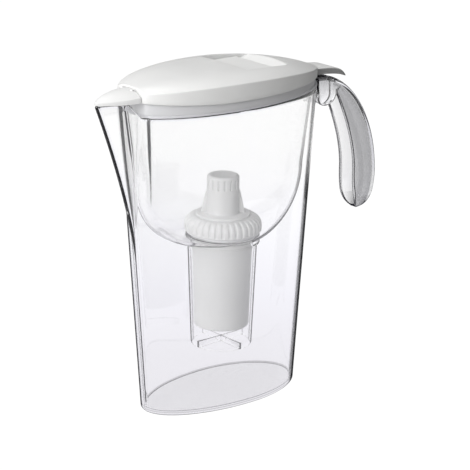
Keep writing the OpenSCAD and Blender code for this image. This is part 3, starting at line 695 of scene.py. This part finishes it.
hopperPiece = makeHopper()
pieceMarks(hopperPiece, thickEdge=hopperMarks, milky=hopperMilk, edgeEase=hopperEase)
dress(hopperPiece, hopperPlastic, "clear_plastic", "hopper")
print("hopper made")


# Well: a round tapered cup open at its foot, with a cross of blades

well = {"foot": 40, "topRadius": 25.6, "footRadius": 22.6, "wall": 1.6, "collar": 4.5, "bladeHeight": 5,
        "blade": 1.6}


def makeWell():
    w = well
    low, high, wide = hopper["floor"] - w["collar"], hopper["floor"], hopper["collarRadius"]
    boreTop, boreFoot = w["topRadius"] - w["wall"], w["footRadius"] - w["wall"]
    profile = roundedPath([(boreFoot, w["foot"]), (w["footRadius"], w["foot"]), (w["topRadius"], low),
                           (wide, low), (wide, high), (boreTop, high)], [0.6, 0.6, 0.5, 1.2, 0.4, 0.4], 6)
    rows = []
    for i, point in enumerate(profile):                     # more rows on the two long sides
        after = profile[(i + 1) % len(profile)]
        steps = max(1, int(np.linalg.norm(after - point) / 4))
        rows += [blendValue(point, after, k / steps) for k in range(steps)]
    return loopSolid("wellCup", turned(rows, 160, (hopper["wellX"], 0)), "hopper_unit")


def turnRoundWell(piece, degrees):
    # Turn a piece that was made at the origin, and move it to the well's axis
    piece.data.transform(Matrix.Translation(Vector((hopper["wellX"] * millimetre, 0, 0)))
                         @ Matrix.Rotation(math.radians(degrees), 4, "Z"))


def makeBlade(name, degrees):
    w = well
    reach, low, high = w["footRadius"] - w["wall"] / 2, w["foot"] + 0.1, w["foot"] + w["bladeHeight"]
    outline = roundedPath([(-reach, low), (reach, low), (reach, high), (-reach, high)], 0.5, 4)
    blade = sidePlate(name, outline, w["blade"], 0.4, "hopper_unit")
    turnRoundWell(blade, degrees)
    return blade


wellPiece = makeWell()
dress(wellPiece, hopperPlastic, "clear_plastic", "cartridge_well")
for bladeName, degrees in (("wellBladeAlong", 0), ("wellBladeAcross", 90)):
    dress(makeBlade(bladeName, degrees), hopperPlastic, "clear_plastic", "cartridge_well")
print("well made")


# Cartridge: a tapered cup with a grooved shoulder, and a slotted inlet cap on a foot disc

cartridge = {"foot": 55, "footRadius": 20.2, "topRadius": 22.4, "shoulderFoot": 129.2, "shoulderTop": 141,
             "shoulderRadius": 28.4, "rim": 4.3, "grooves": 36, "grooveDepth": 0.9,
             "discRadius": 19.8, "discHeight": 1.8, "capRadius": 11.7, "capTop": 171.5, "slots": 16,
             "slotHeight": 7, "slotDepth": 1.1}


def pressedIn(profile, columns, depthAt):
    # A profile turned round the well's axis, then sunk toward that axis by depthAt
    loops = turned(profile, columns, (hopper["wellX"], 0))
    angle = np.linspace(0, tau, columns, endpoint=False)[None, :]
    depth = depthAt(angle, profile[:, :1], profile[:, 1:])
    loops[..., 0] -= depth * np.cos(angle)
    loops[..., 1] -= depth * np.sin(angle)
    return loops


def grooveDepth(angle, radius, z):
    # Round-bottomed grooves over the shoulder's rim and dome
    c = cartridge
    notch = smoothStep(0.45, 0.8, 0.5 + 0.5 * np.cos(angle * c["grooves"]))
    zone = smoothStep(c["shoulderFoot"] + 0.8, c["shoulderFoot"] + 1.6, z) * smoothStep(21.5, 24.5, radius)
    return c["grooveDepth"] * notch * zone


def slotDepth(angle, radius, z):
    # Upright slots round the inlet cap's wall
    c = cartridge
    across = np.abs((angle * c["slots"] / tau) % 1 - 0.5) * tau / c["slots"] * c["capRadius"]
    top = c["capTop"] - 2.5
    foot = top - c["slotHeight"]
    along = smoothStep(foot - 0.15, foot + 0.15, z) * (1 - smoothStep(top - 0.15, top + 0.15, z))
    return c["slotDepth"] * (1 - smoothStep(0.55, 0.85, across)) * along * (radius > c["capRadius"] - 0.1)


def makeCartridgeBody():
    c = cartridge
    foot, low, wide, narrow = c["foot"], c["shoulderFoot"], c["shoulderRadius"], c["footRadius"]
    bend = np.linspace(0, math.pi / 2, 14)
    dome = np.stack([blendValue(c["discRadius"] + 0.6, wide, np.cos(bend)),
                     blendValue(low + c["rim"], c["shoulderTop"], np.sin(bend))], axis=1)
    up = np.linspace(0.02, 0.995, 24)
    side = np.stack([blendValue(narrow, c["topRadius"], up), blendValue(foot, low, up)], axis=1)
    profile = np.vstack([
        [(2, foot + 0.8), (10, foot + 0.8), (narrow - 2.6, foot + 0.8), (narrow - 1.9, foot),
         (narrow - 0.9, foot), (narrow - 0.2, foot + 0.5)], side,
        [(c["topRadius"] + 0.3, low), (wide - 0.6, low), (wide, low + 0.6), (wide, low + 1.4),
         (wide, low + 2.4), (wide, low + 3.4)], dome,
        [(10, c["shoulderTop"]), (2, c["shoulderTop"])]])
    return loopSolid("cartridgeBody", pressedIn(profile, 576, grooveDepth), "cartridge", closed=False,
                     sharpDegrees=38)


def makeInletCap():
    c = cartridge
    top, r, wide, low = c["capTop"], c["capRadius"], c["discRadius"], c["shoulderTop"]
    disc = low + c["discHeight"]
    corner = np.linspace(0, math.pi / 2, 8)
    # Rows up the cap's wall, closer together at the slots
    rows = np.concatenate([np.linspace(disc + 1.2, 160, 8), np.linspace(161, 169.2, 34)])
    profile = np.vstack([
        [(2, low + 0.05), (wide - 0.4, low + 0.05), (wide, low + 0.45), (wide, disc - 0.5), (wide - 0.5, disc),
         (r + 1.4, disc), (r + 0.4, disc + 0.3)], np.column_stack([np.full(len(rows), r), rows]),
        np.stack([r - 2 + 2 * np.cos(corner), top - 2 + 2 * np.sin(corner)], axis=1)[1:],
        [(r - 3.2, top), (r - 3.8, top - 0.35), (1, top - 0.35)]])
    return loopSolid("inletCap", pressedIn(profile, 640, slotDepth), "cartridge", closed=False, sharpDegrees=35)


def makeFin(name, degrees):
    # A small buttress on the foot disc, against the cap's wall
    r, top = cartridge["capRadius"], cartridge["capTop"] - 12
    disc = cartridge["shoulderTop"] + cartridge["discHeight"] - 0.2
    outline = roundedPath([(r - 0.8, disc), (r + 4.2, disc), (r + 0.6, top), (r - 0.8, top)],
                          [0, 0.6, 0.5, 0], 5)
    fin = sidePlate(name, outline, 2, 0.5, "cartridge")
    turnRoundWell(fin, degrees)
    return fin


dress(makeCartridgeBody(), cartridgePlastic, "cartridge_plastic", "cartridge_shell")
for capPart in (makeInletCap(), makeFin("capFinLeft", 140), makeFin("capFinRight", -40)):
    dress(capPart, cartridgePlastic, "cartridge_plastic", "inlet_cap")
print("cartridge made")


# Lid: a domed oval with a lower front and rear, a recess for the flap and a finger scoop

lid = {"oval": (88.5, 85.5, 43.5, 0), "seam": 83, "seamRound": 1.5, "skirtFoot": 237.5, "skirtLift": 3,
       "ridge": 250.2, "peak": 20, "frontDroop": 3.3, "backDroop": 7.7, "crown": 5.5, "domeReach": 106,
       "fullness": 4, "thick": 2, "ridgeRound": 1.1, "hingeX": 4, "flapLength": 29.5, "recessHalf": 26,
       "scoop": 13.5, "scoopHalf": 18, "scoopStep": 0.6, "flapTop": 251.1, "flapThick": 2, "trayGap": 1.4,
       "tray": 2, "flapNose": 1.3, "holeIn": 4, "holeShort": 3, "fan": (40, 27)}
lid["recessX"] = lid["hingeX"] - lid["flapNose"] - 1.0
lid["flapEnd"] = lid["hingeX"] + lid["flapLength"]
lid["recessEnd"] = lid["flapEnd"] + lid["scoop"]
lid["trayTop"] = lid["flapTop"] - lid["flapThick"] - lid["trayGap"]


def ridgeHeight(x):
    away = x + lid["peak"]
    front = lid["frontDroop"] * (np.minimum(away, 0) / (lid["seam"] - lid["peak"])) ** 2
    rear = lid["backDroop"] * (np.maximum(away, 0) / (lid["oval"][1] + lid["peak"])) ** 2.2
    return lid["ridge"] - front - rear


def skirtHeight(x):
    toward = np.clip((-x - lid["peak"]) / (lid["seam"] - lid["peak"]), 0, 1)
    return lid["skirtFoot"] + lid["skirtLift"] * toward ** 1.5


def domeHeight(x, y):
    # The ridge's height at that x, plus a crown that fades toward the lid's outline
    front, back, half, _ = lid["oval"]
    width = half * np.sqrt(np.clip(1 - (x / front) ** 2, 0.01, 1))
    ahead = 1 - np.clip(np.abs(y) / width, 0, 1) ** lid["fullness"]
    ahead = ahead * (1 - (np.minimum(x, 0) / lid["domeReach"]) ** 4)
    rho = np.clip(np.sqrt((x / back) ** 2 + (y / half) ** 2), 0, 1)
    return ridgeHeight(x) + lid["crown"] * np.where(x < 0, ahead, 1 - rho ** lid["fullness"])


def lidOutline(inset, angle):
    x, y = ovalPoint(lid["oval"], inset, angle)
    return flatFront(x, y, lid["seam"] - inset, lid["seamRound"])


def recessSide():
    # One side of the recess's plan, which narrows into the scoop
    middle = blendValue(lid["recessX"], lid["recessEnd"], 0.5)
    return bezierCurve([(lid["recessX"], lid["recessHalf"]), (middle, lid["recessHalf"]),
                        (lid["recessEnd"], blendValue(lid["scoopHalf"], lid["recessHalf"], 0.67)),
                        (lid["recessEnd"], lid["scoopHalf"])], 60)


def recessOutline(inset, endX=None, corner=1.5):
    # The recess's plan, or the part of it ahead of endX, from the middle of its hinge side all the way round
    side = recessSide()
    cut = endX is not None
    if cut:
        end = (endX, np.interp(endX, side[:, 0], side[:, 1]))
        side = np.vstack([side[side[:, 0] < endX], end])
    side = side - [0, inset]
    side[0, 0] += inset
    side[:, 0] = np.maximum(side[:, 0], lid["recessX"] + inset)
    side[:, 0] = np.minimum(side[:, 0], side[-1, 0] - (0 if cut else inset))
    path = np.vstack([[(side[0, 0], 0)], side * [1, -1], side[::-1], [(side[0, 0], 0)]])
    radii = np.zeros(len(path))
    radii[[1, len(path) - 2]] = corner
    if cut:
        radii[[len(side), len(side) + 1]] = corner
    return path, radii


def evenOutline(path, radii, count):
    # Evenly spaced points along the closed path, with its corners rounded
    path = roundedPath(path[:-1], radii[:-1], 8)
    return resample(np.vstack([path, path[:1]]), count + 1)[:-1]


def matchedOutlines(count):
    # Points round the hole, the recess and its lip, and the directions of the lid's points outward of them
    hole = evenOutline(*recessOutline(lid["holeIn"], lid["flapEnd"] - lid["holeShort"]), count)
    recessFoot, recess, recessLip = (evenOutline(*recessOutline(inset), count) for inset in (0.4, 0, -0.5))
    along, across = lid["fan"]
    middle = 0.5 * (lid["recessX"] + lid["flapEnd"])
    direction = np.arctan2(recess[:, 1] / across, (recess[:, 0] - middle) / along)
    return hole, recessFoot, recess, recessLip, np.unwrap(direction)


def trayHeight(x):
    # The recess's floor: level under the flap, then a small step and a ramp up to the dome
    start, step = lid["flapEnd"] + 0.5, lid["scoopStep"]
    rampTop = domeHeight(np.array(lid["recessEnd"]), np.array(0.0))
    slope = (rampTop - lid["trayTop"] - step) / (lid["scoop"] - 0.5)
    rise = np.clip(x - start, 0, None) * slope
    return lid["trayTop"] + rise + step * smoothStep(start - 0.2, start + 0.2, x)


def makeLid():
    count = 520
    hole, recessFoot, recess, recessLip, angle = matchedOutlines(count)
    thick, r = lid["thick"], lid["ridgeRound"]
    trayFoot = lid["trayTop"] - lid["tray"]

    def plan(inset):
        return np.column_stack(lidOutline(inset, angle))

    def dome(flat, drop=0.0):
        return domeHeight(flat[:, 0], flat[:, 1]) - drop

    # Up the hole's edge, out over the tray and up the recess's wall to its lip
    loops = [lifted(hole, trayFoot + 0.3), lifted(hole, lid["trayTop"] - 0.3)]
    for t in np.concatenate([[0.03], np.linspace(0.08, 0.92, 26), [0.97]]):
        flat = blendValue(hole, recessFoot, t)
        loops.append(lifted(flat, np.minimum(trayHeight(flat[:, 0]), dome(flat, 0.05))))
    wallFoot, wallTop = np.minimum(trayHeight(recessFoot[:, 0]), dome(recess, 0.04)), dome(recess)
    loops += [lifted(recessFoot, wallFoot), lifted(recess, np.minimum(wallFoot + 0.4, wallTop - 0.03)),
              lifted(recess, np.maximum(wallTop - 0.45, wallFoot + 0.01)),
              lifted(blendValue(recess, recessLip, 0.3), wallTop - 0.12), lifted(recessLip, dome(recessLip))]
    # Over the dome, round the ridge and down the skirt
    edge, rim = plan(r), plan(0)
    for t in np.linspace(0.03, 1, 40):
        flat = blendValue(recessLip, edge, t)
        loops.append(lifted(flat, dome(flat)))
    loops += [lifted(plan(r * (1 - math.sin(a))), dome(edge, r * (1 - math.cos(a))))
              for a in np.linspace(0, math.pi / 2, 7)[1:]]
    skirtTop, skirtFoot = ridgeHeight(rim[:, 0]) - r, skirtHeight(rim[:, 0]) + 0.5
    loops += [lifted(rim, blendValue(skirtTop, skirtFoot, t)) for t in (0.33, 0.66)]
    loops += [lifted(plan(thick / 2 * (1 - math.cos(a))), skirtFoot - 0.5 * math.sin(a))
              for a in np.linspace(0, math.pi, 7)]
    # Back up inside, under the dome to the tray's outside, and in to the hole
    inner, box = plan(thick), evenOutline(*recessOutline(-thick), count)
    loops.append(lifted(inner, dome(inner, thick + 0.6)))
    for t in np.linspace(0.04, 0.98, 20):
        flat = blendValue(inner, box, t)
        loops.append(lifted(flat, dome(flat, thick)))
    loops.append(lifted(box, np.minimum(dome(box, thick + 0.3),
                                        np.maximum(trayHeight(box[:, 0]) - lid["tray"], trayFoot))))
    for t in np.linspace(0.1, 0.99, 12):
        flat = blendValue(box, hole, t)
        loops.append(lifted(flat, np.minimum(trayHeight(flat[:, 0]), dome(flat, 0.05)) - lid["tray"]))
    return loopSolid("lidShell", loops, "lid", sharpDegrees=40)


tab = {"drop": 9.2, "half": 11, "round": 1.3, "crown": 0.5, "underWidth": 0.94, "rows": 34, "taper": 1.2,
       "taperRows": 7}


def makeRearTab():
    # A rounded slab that leaves the lid level and droops at its end
    root, back, rows = lid["ridge"] - tab["drop"], lid["oval"][1], tab["rows"]
    top = bezierCurve([(back - 8, root + 0.8), (back + 8, root - 1), (back + 22.5, root + 1),
                       (back + 29.5, root - 9.5)], rows)
    low = bezierCurve([(back - 8, root - 5), (back + 8, root - 5.8), (back + 22.5, root - 7.2),
                       (back + 28.9, root - 10.3)], rows)
    turn = np.linspace(0, math.pi / 2, 6)
    taperStart = rows - 1 - tab["taperRows"]
    loops = []
    for i in range(rows):
        thick = max(float(np.linalg.norm(top[i] - low[i])), 0.3)
        up = (top[i] - low[i]) / thick
        r = min(tab["round"], thick / 2 * 0.98)
        half = tab["half"] - tab["taper"] * max(0.0, (i - taperStart) / tab["taperRows"]) ** 2
        side = np.stack([half - r + r * np.sin(turn), thick - r + r * np.cos(turn)], axis=1)
        upper = np.vstack([side[::-1] * [-1, 1], side])
        lower = upper[::-1] * [tab["underWidth"], -1] + [0, thick]
        upper[:, 1] -= tab["crown"] * (upper[:, 0] / tab["half"]) ** 2
        across, rise = np.vstack([upper, lower]).T
        loops.append(np.stack([low[i, 0] + up[0] * rise, across, low[i, 1] + up[1] * rise], axis=1))
    return loopSolid("lidRearTab", loops, "lid", closed=False, sharpDegrees=45)


lidPiece = makeLid()
dress(lidPiece, lidPlastic, "lid_plastic", "lid_shell")
tabPiece = makeRearTab()
dress(tabPiece, tabPlastic, "lid_plastic", "lid_shell")
print("lid made")


# Liner: the stepped ring under the lid that rests on the hopper's flange

liner = {"foot": 231.8, "wall": 2, "lip": 4, "gap": 0.5}


def makeLiner():
    foot, wall, low = liner["foot"], liner["wall"], liner["foot"] - liner["lip"]

    def outer(inset, z):
        return lifted(np.column_stack(lidOutline(lid["thick"] + inset, roundAngles)), z)

    def lip(inset, z):
        inset = inset + hopper["wall"] + liner["gap"]
        x, y = ovalPoint(hopperTopOval, inset, roundAngles)
        return lifted(np.column_stack(flatFront(x, y, hopper["front"] - inset, 2.5)), z)

    top = ridgeHeight(outer(0, 0.0)[:, 0]) - lid["thick"] - 0.4
    loops = [outer(0.3, foot), outer(0, foot + 0.3), outer(0, foot + 2.5), outer(0, lid["skirtFoot"] + 1),
             outer(0, top), outer(wall, top), outer(wall, foot + wall + 0.5), outer(wall + 0.5, foot + wall),
             lip(wall, foot + wall), lip(wall, low + 0.4), lip(wall / 2, low), lip(0.3, low + 0.2),
             lip(0, foot - 0.6), lip(0, foot)]
    return loopSolid("lidLiner", loops, "lid")


linerPiece = makeLiner()
dress(linerPiece, linerPlastic, "liner_plastic", "lid_liner")


# Flap and spout cover

def plateSolid(name, outline, low, high, rounding, body, dish):
    # A flat plate of that plan, with rounded edges and a top that is crowned by dish
    normal, centre = outwardNormals(outline), outline.mean(0)
    shrunk = outline - normal * rounding
    steps = np.linspace(0, math.pi / 2, 6)
    loops = [lifted(blendValue(centre, shrunk, t), low) for t in (0.2, 0.4, 0.6, 0.8, 0.95)]
    for start, way, turns in ((low, 1, steps), (high - dish, -1, steps[::-1])):
        for a in turns:
            loops.append(lifted(outline - normal * rounding * (1 - math.sin(a)),
                                start + way * rounding * (1 - math.cos(a))))
    for t in (0.95, 0.85, 0.7, 0.5, 0.3, 0.12):
        loops.append(lifted(blendValue(centre, shrunk, t), high - dish * t ** 3))
    return loopSolid(name, loops, body, closed=False)


def makeFlap():
    path, radii = recessOutline(0.5, lid["flapEnd"], 1.2)
    path[:, 0] = np.maximum(path[:, 0], lid["hingeX"] - lid["flapNose"])
    low = lid["flapTop"] - lid["flapThick"]
    return plateSolid("fillFlap", evenOutline(path, radii, 260), low, lid["flapTop"], 0.6, "flap", 0.15)


def makePin(name, x, y, z, radius, length, body):
    # A round pin along y, with rounded ends
    end, rounding = length / 2, 0.25
    profile = roundedPath([(0.01, -end), (radius, -end), (radius, end), (0.01, end)],
                          [0, rounding, rounding, 0], 5, closed=False)
    loops = turned(profile, 40)
    loops = np.stack([x + loops[..., 0], y + loops[..., 2], z + loops[..., 1]], axis=-1)
    return loopSolid(name, loops, body, closed=False)


flapPiece = makeFlap()
dress(flapPiece, flapPlastic, "lid_plastic", "fill_flap")
flapAxis = lid["flapTop"] - 1.3
for pinName, side in (("flapPinLeft", 1), ("flapPinRight", -1)):
    pin = makePin(pinName, lid["hingeX"], side * (lid["recessHalf"] - 1.5), flapAxis, 1.25, 5, "flap")
    dress(pin, flapPlastic, "lid_plastic", "fill_flap")

cover = {"axisX": -85.4, "axisZ": 247.9, "rearX": -84.4, "half": 14, "low": 241.0, "wall": 1.5, "tipX": 113.5,
         "tipTop": 243.6, "rearTop": 245.4, "crown": 4.5, "middleX": -94.3, "notchX": -87.9, "notchIn": 4.25,
         "notchOut": 6.95, "pinLength": 12.8, "armY": 5.6, "armWidth": 2.2, "armEye": 1.8, "armBore": 1.05,
         "armNeck": 3.0, "round": 0.8}


def coverOutline(inset):
    # A blunt beak's plan, with two notches in its rear edge for the lid's hinge arms
    half, rear = cover["half"] - inset, cover["rearX"] - inset
    notchX, notchIn, notchOut = cover["notchX"] - inset, cover["notchIn"] - inset, cover["notchOut"] + inset
    across = np.sin(np.linspace(-math.pi / 2, math.pi / 2, 150))
    soft = (across ** 2 + 0.0025) ** 0.65 - 0.0025 ** 0.65           # rounds the tip
    x = rear - (cover["tipX"] - inset + rear) * np.clip(1 - soft / soft[-1], 0, 1) ** 0.555
    side = np.linspace(rear, notchX, 6)
    outer, middle = np.linspace(half, notchOut, 10)[1:-1], np.linspace(notchIn, -notchIn, 16)[1:-1]
    rearEdge = [(rear, y) for y in outer] + [(v, notchOut) for v in side] + [(v, notchIn) for v in side[::-1]]
    back = np.array(rearEdge + [(rear, y) for y in middle])
    mirrored = np.array(rearEdge[::-1]) * [1, -1]
    return np.vstack([np.column_stack([x, across * half]), back, mirrored])


def coverRing(outline, t, drop, inset=0.0):
    # The cover's plan drawn in toward its middle by t, at its bulging top's height less drop
    flat = blendValue(np.array([cover["middleX"], 0.0]), outline, t)
    rear, half = cover["rearX"] - inset, cover["half"] - inset
    forward = np.clip((rear - flat[:, 0]) / (cover["tipX"] - inset + rear), 0, 1)
    width = np.maximum(half * (1 - forward ** 1.8) ** 0.77, 0.01)
    bulge = (1 - np.clip(np.abs(flat[:, 1]) / width, 0, 1) ** 2.2) * (1 - forward ** 3)
    along = (flat[:, 0] - cover["rearX"]) / (-cover["tipX"] - cover["rearX"])
    return lifted(flat, blendValue(cover["rearTop"], cover["tipTop"], along) + cover["crown"] * bulge - drop)


def makeCover():
    # A thin cap over the beak: its top bulges and slopes down to the tip, and it is hollow below
    low, wall, r = cover["low"], cover["wall"], cover["round"]
    inner = coverOutline(wall)
    loops = [coverRing(inner, t, wall, wall) for t in (0.05, 0.2, 0.4, 0.6, 0.8, 0.95)]
    loops.append(coverRing(inner, 1, wall + 0.2, wall))
    for inset, up in ((wall, 0.2), (wall - 0.3, 0), (0.3, 0), (0, 0.3)):
        loops.append(lifted(coverOutline(inset), low + up))
    for a in np.linspace(0, math.pi / 2, 6):
        inset = r * (1 - math.cos(a))
        loops.append(coverRing(coverOutline(inset), 1, r * (1 - math.sin(a)), inset))
    for t in (0.97, 0.93, 0.87, 0.8, 0.7, 0.6, 0.48, 0.36, 0.24, 0.12, 0.03):
        loops.append(coverRing(coverOutline(r), t, 0, r))
    return loopSolid("spoutCover", loops, "cover", closed=False, sharpDegrees=40)


def makeArm(name, y):
    # An eye round the cover's pin, on a short neck from the lid's front
    angle = np.linspace(0, tau, 48, endpoint=False)
    circle = np.stack([np.cos(angle), np.sin(angle)], axis=1)
    centre, eye = np.array([cover["axisX"], cover["axisZ"]]), cover["armEye"]
    outer, inner = centre + eye * circle, centre + cover["armBore"] * circle
    neck = (np.cos(angle) > 0) & (np.abs(np.sin(angle)) < 0.97)
    outer[neck] = centre + np.column_stack([
        np.full(neck.sum(), cover["armNeck"]), np.clip(eye * np.tan(angle[neck]), -eye, eye - 0.5)])
    half, r = cover["armWidth"] / 2, 0.2
    shrunk = blendValue(outer, centre, 0.1)
    loops = [np.insert(ring, 1, y + side, axis=1) for ring, side in (
        (inner, -half), (shrunk, -half), (outer, -half + r), (outer, half - r), (shrunk, half), (inner, half))]
    return loopSolid(name, loops, "lid", sharpDegrees=40)


for armName, side in (("coverArmLeft", 1), ("coverArmRight", -1)):
    dress(makeArm(armName, side * cover["armY"]), lidPlastic, "lid_plastic", "lid_shell")

coverPiece = makeCover()
dress(coverPiece, coverPlastic, "lid_plastic", "spout_cover")
coverPin = makePin("coverPin", cover["axisX"], 0, cover["axisZ"], 1.0, cover["pinLength"], "cover")
dress(coverPin, lidPlastic, "lid_plastic", "spout_cover")
print("flap and cover made")


# Floor, light and camera

def makeFloor():
    mesh = bpy.data.meshes.new("paleFloor")
    size = 6.0
    mesh.from_pydata([(-size, -size, 0), (size, -size, 0), (size, size, 0), (-size, size, 0)], [],
                     [(0, 1, 2, 3)])
    floor = bpy.data.objects.new("paleFloor", mesh)
    scene.collection.objects.link(floor)
    material, tree = newMaterial("whiteSweep")
    paint = addNode(tree, "BsdfDiffuse", {"Color": srgb("#C2C2C2")})
    path, seen = lookingRays(tree)
    # Painted shade: seen through the clear walls, the sweep is a darker, faint lilac grey near the pitcher,
    # fading to white farther out
    away = addNode(tree, "VectorMath", {
        0: addNode(tree, "NewGeometry").outputs["Position"]}, operation="LENGTH")
    near = addNode(tree, "MapRange", {"Value": away.outputs["Value"], "From Max": 0.8})
    paintedShadeTone = colourRamp(tree, near.outputs["Result"], [
        (0.0, (0.80, 0.79, 0.83, 1)), (0.12, (0.83, 0.82, 0.865, 1)), (0.28, (0.88, 0.875, 0.93, 1)),
        (0.5, (0.95, 0.95, 0.985, 1)), (0.85, (1, 1, 1, 1))])
    through = addNode(tree, "Mix", {
        "Factor": path["Is Camera Ray"], "A": paintedShadeTone, "B": (1.01, 1.01, 1.01, 1)}, data_type="RGBA")
    glow = addNode(tree, "Emission", {"Color": through.outputs["Result"], "Strength": 1.06})
    share = addNode(tree, "Math", {0: seen, 1: 0.95}, operation="MULTIPLY")
    mixed = addNode(tree, "MixShader", {0: share, 1: paint, 2: glow})
    addNode(tree, "OutputMaterial", {"Surface": mixed})
    mesh.materials.append(material)


def makeWorld():
    world = bpy.data.worlds.new("softStudio")
    scene.world = world
    world.use_nodes = True
    tree = world.node_tree
    tree.nodes.clear()
    direction = addNode(tree, "TexCoord").outputs["Generated"]
    split = addNode(tree, "SeparateXYZ", {"Vector": direction})
    height = addNode(tree, "MapRange", {"Value": split.outputs["Z"], "From Min": -0.2, "From Max": 0.9})
    sky = colourRamp(tree, height.outputs["Result"], [
        (0.0, (0.16, 0.16, 0.16, 1)), (0.35, (0.1, 0.1, 0.1, 1)), (1.0, (1.9, 1.9, 1.9, 1))])
    # The studio is bright on the window's side only
    side = addNode(tree, "VectorMath", {
        0: direction, 1: (-0.878, 0.479, 0.015)}, operation="DOT_PRODUCT")
    fromLeft = addNode(tree, "MapRange", {
        "Value": side.outputs["Value"], "From Min": -0.25, "From Max": 0.42, "To Min": 0.02, "To Max": 1.05})
    studio = addNode(tree, "Background", {"Color": sky, "Strength": fromLeft})
    white = addNode(tree, "Background", {"Color": (1, 1, 1, 1), "Strength": 1.08})
    _, seen = lookingRays(tree)
    mixed = addNode(tree, "MixShader", {0: seen, 1: studio, 2: white})
    addNode(tree, "OutputWorld", {"Surface": mixed})


def addSoftbox(name, place, aim, size, power):
    light = bpy.data.lights.new(name, "AREA")
    light.shape = "RECTANGLE"
    light.size, light.size_y = size
    light.energy = power
    lamp = bpy.data.objects.new(name, light)
    scene.collection.objects.link(lamp)
    lamp.location = place
    lamp.rotation_euler = (Vector(aim) - Vector(place)).to_track_quat("-Z", "Y").to_euler()
    lamp.visible_camera = False
    lamp.visible_transmission = False


def makeCamera():
    view = {"place": (-0.8974, -1.0700, 0.5878), "toward": (-0.6168, -0.7225, 0.3125), "roll": 0.793,
            "lens": 151.66, "shift": (-0.0027, -0.0113)}
    back = Vector(view["toward"]).normalized()
    right = Vector((-back.y, back.x, 0)).normalized()
    up = back.cross(right)
    roll = math.radians(view["roll"])
    rolledRight = right * math.cos(roll) + up * math.sin(roll)
    rolledUp = -right * math.sin(roll) + up * math.cos(roll)
    camera = bpy.data.cameras.new("photoView")
    camera.lens = view["lens"]
    camera.sensor_width = 36
    camera.shift_x, camera.shift_y = view["shift"]
    camera.clip_end = 20
    item = bpy.data.objects.new("photoView", camera)
    scene.collection.objects.link(item)
    turn = Matrix((rolledRight, rolledUp, back)).transposed()
    item.matrix_world = Matrix.Translation(Vector(view["place"])) @ turn.to_4x4()
    scene.camera = item


makeFloor()
makeWorld()
addSoftbox("leftWindow", (-1.3, -0.5, 0.8), (0, 0, 0.15), (0.9, 1.4), 19)
addSoftbox("topPanel", (0.1, 0, 1.3), (0.02, 0, 0), (0.8, 0.8), 2.2)
makeCamera()
print("stage made")

bpy.context.view_layer.update()
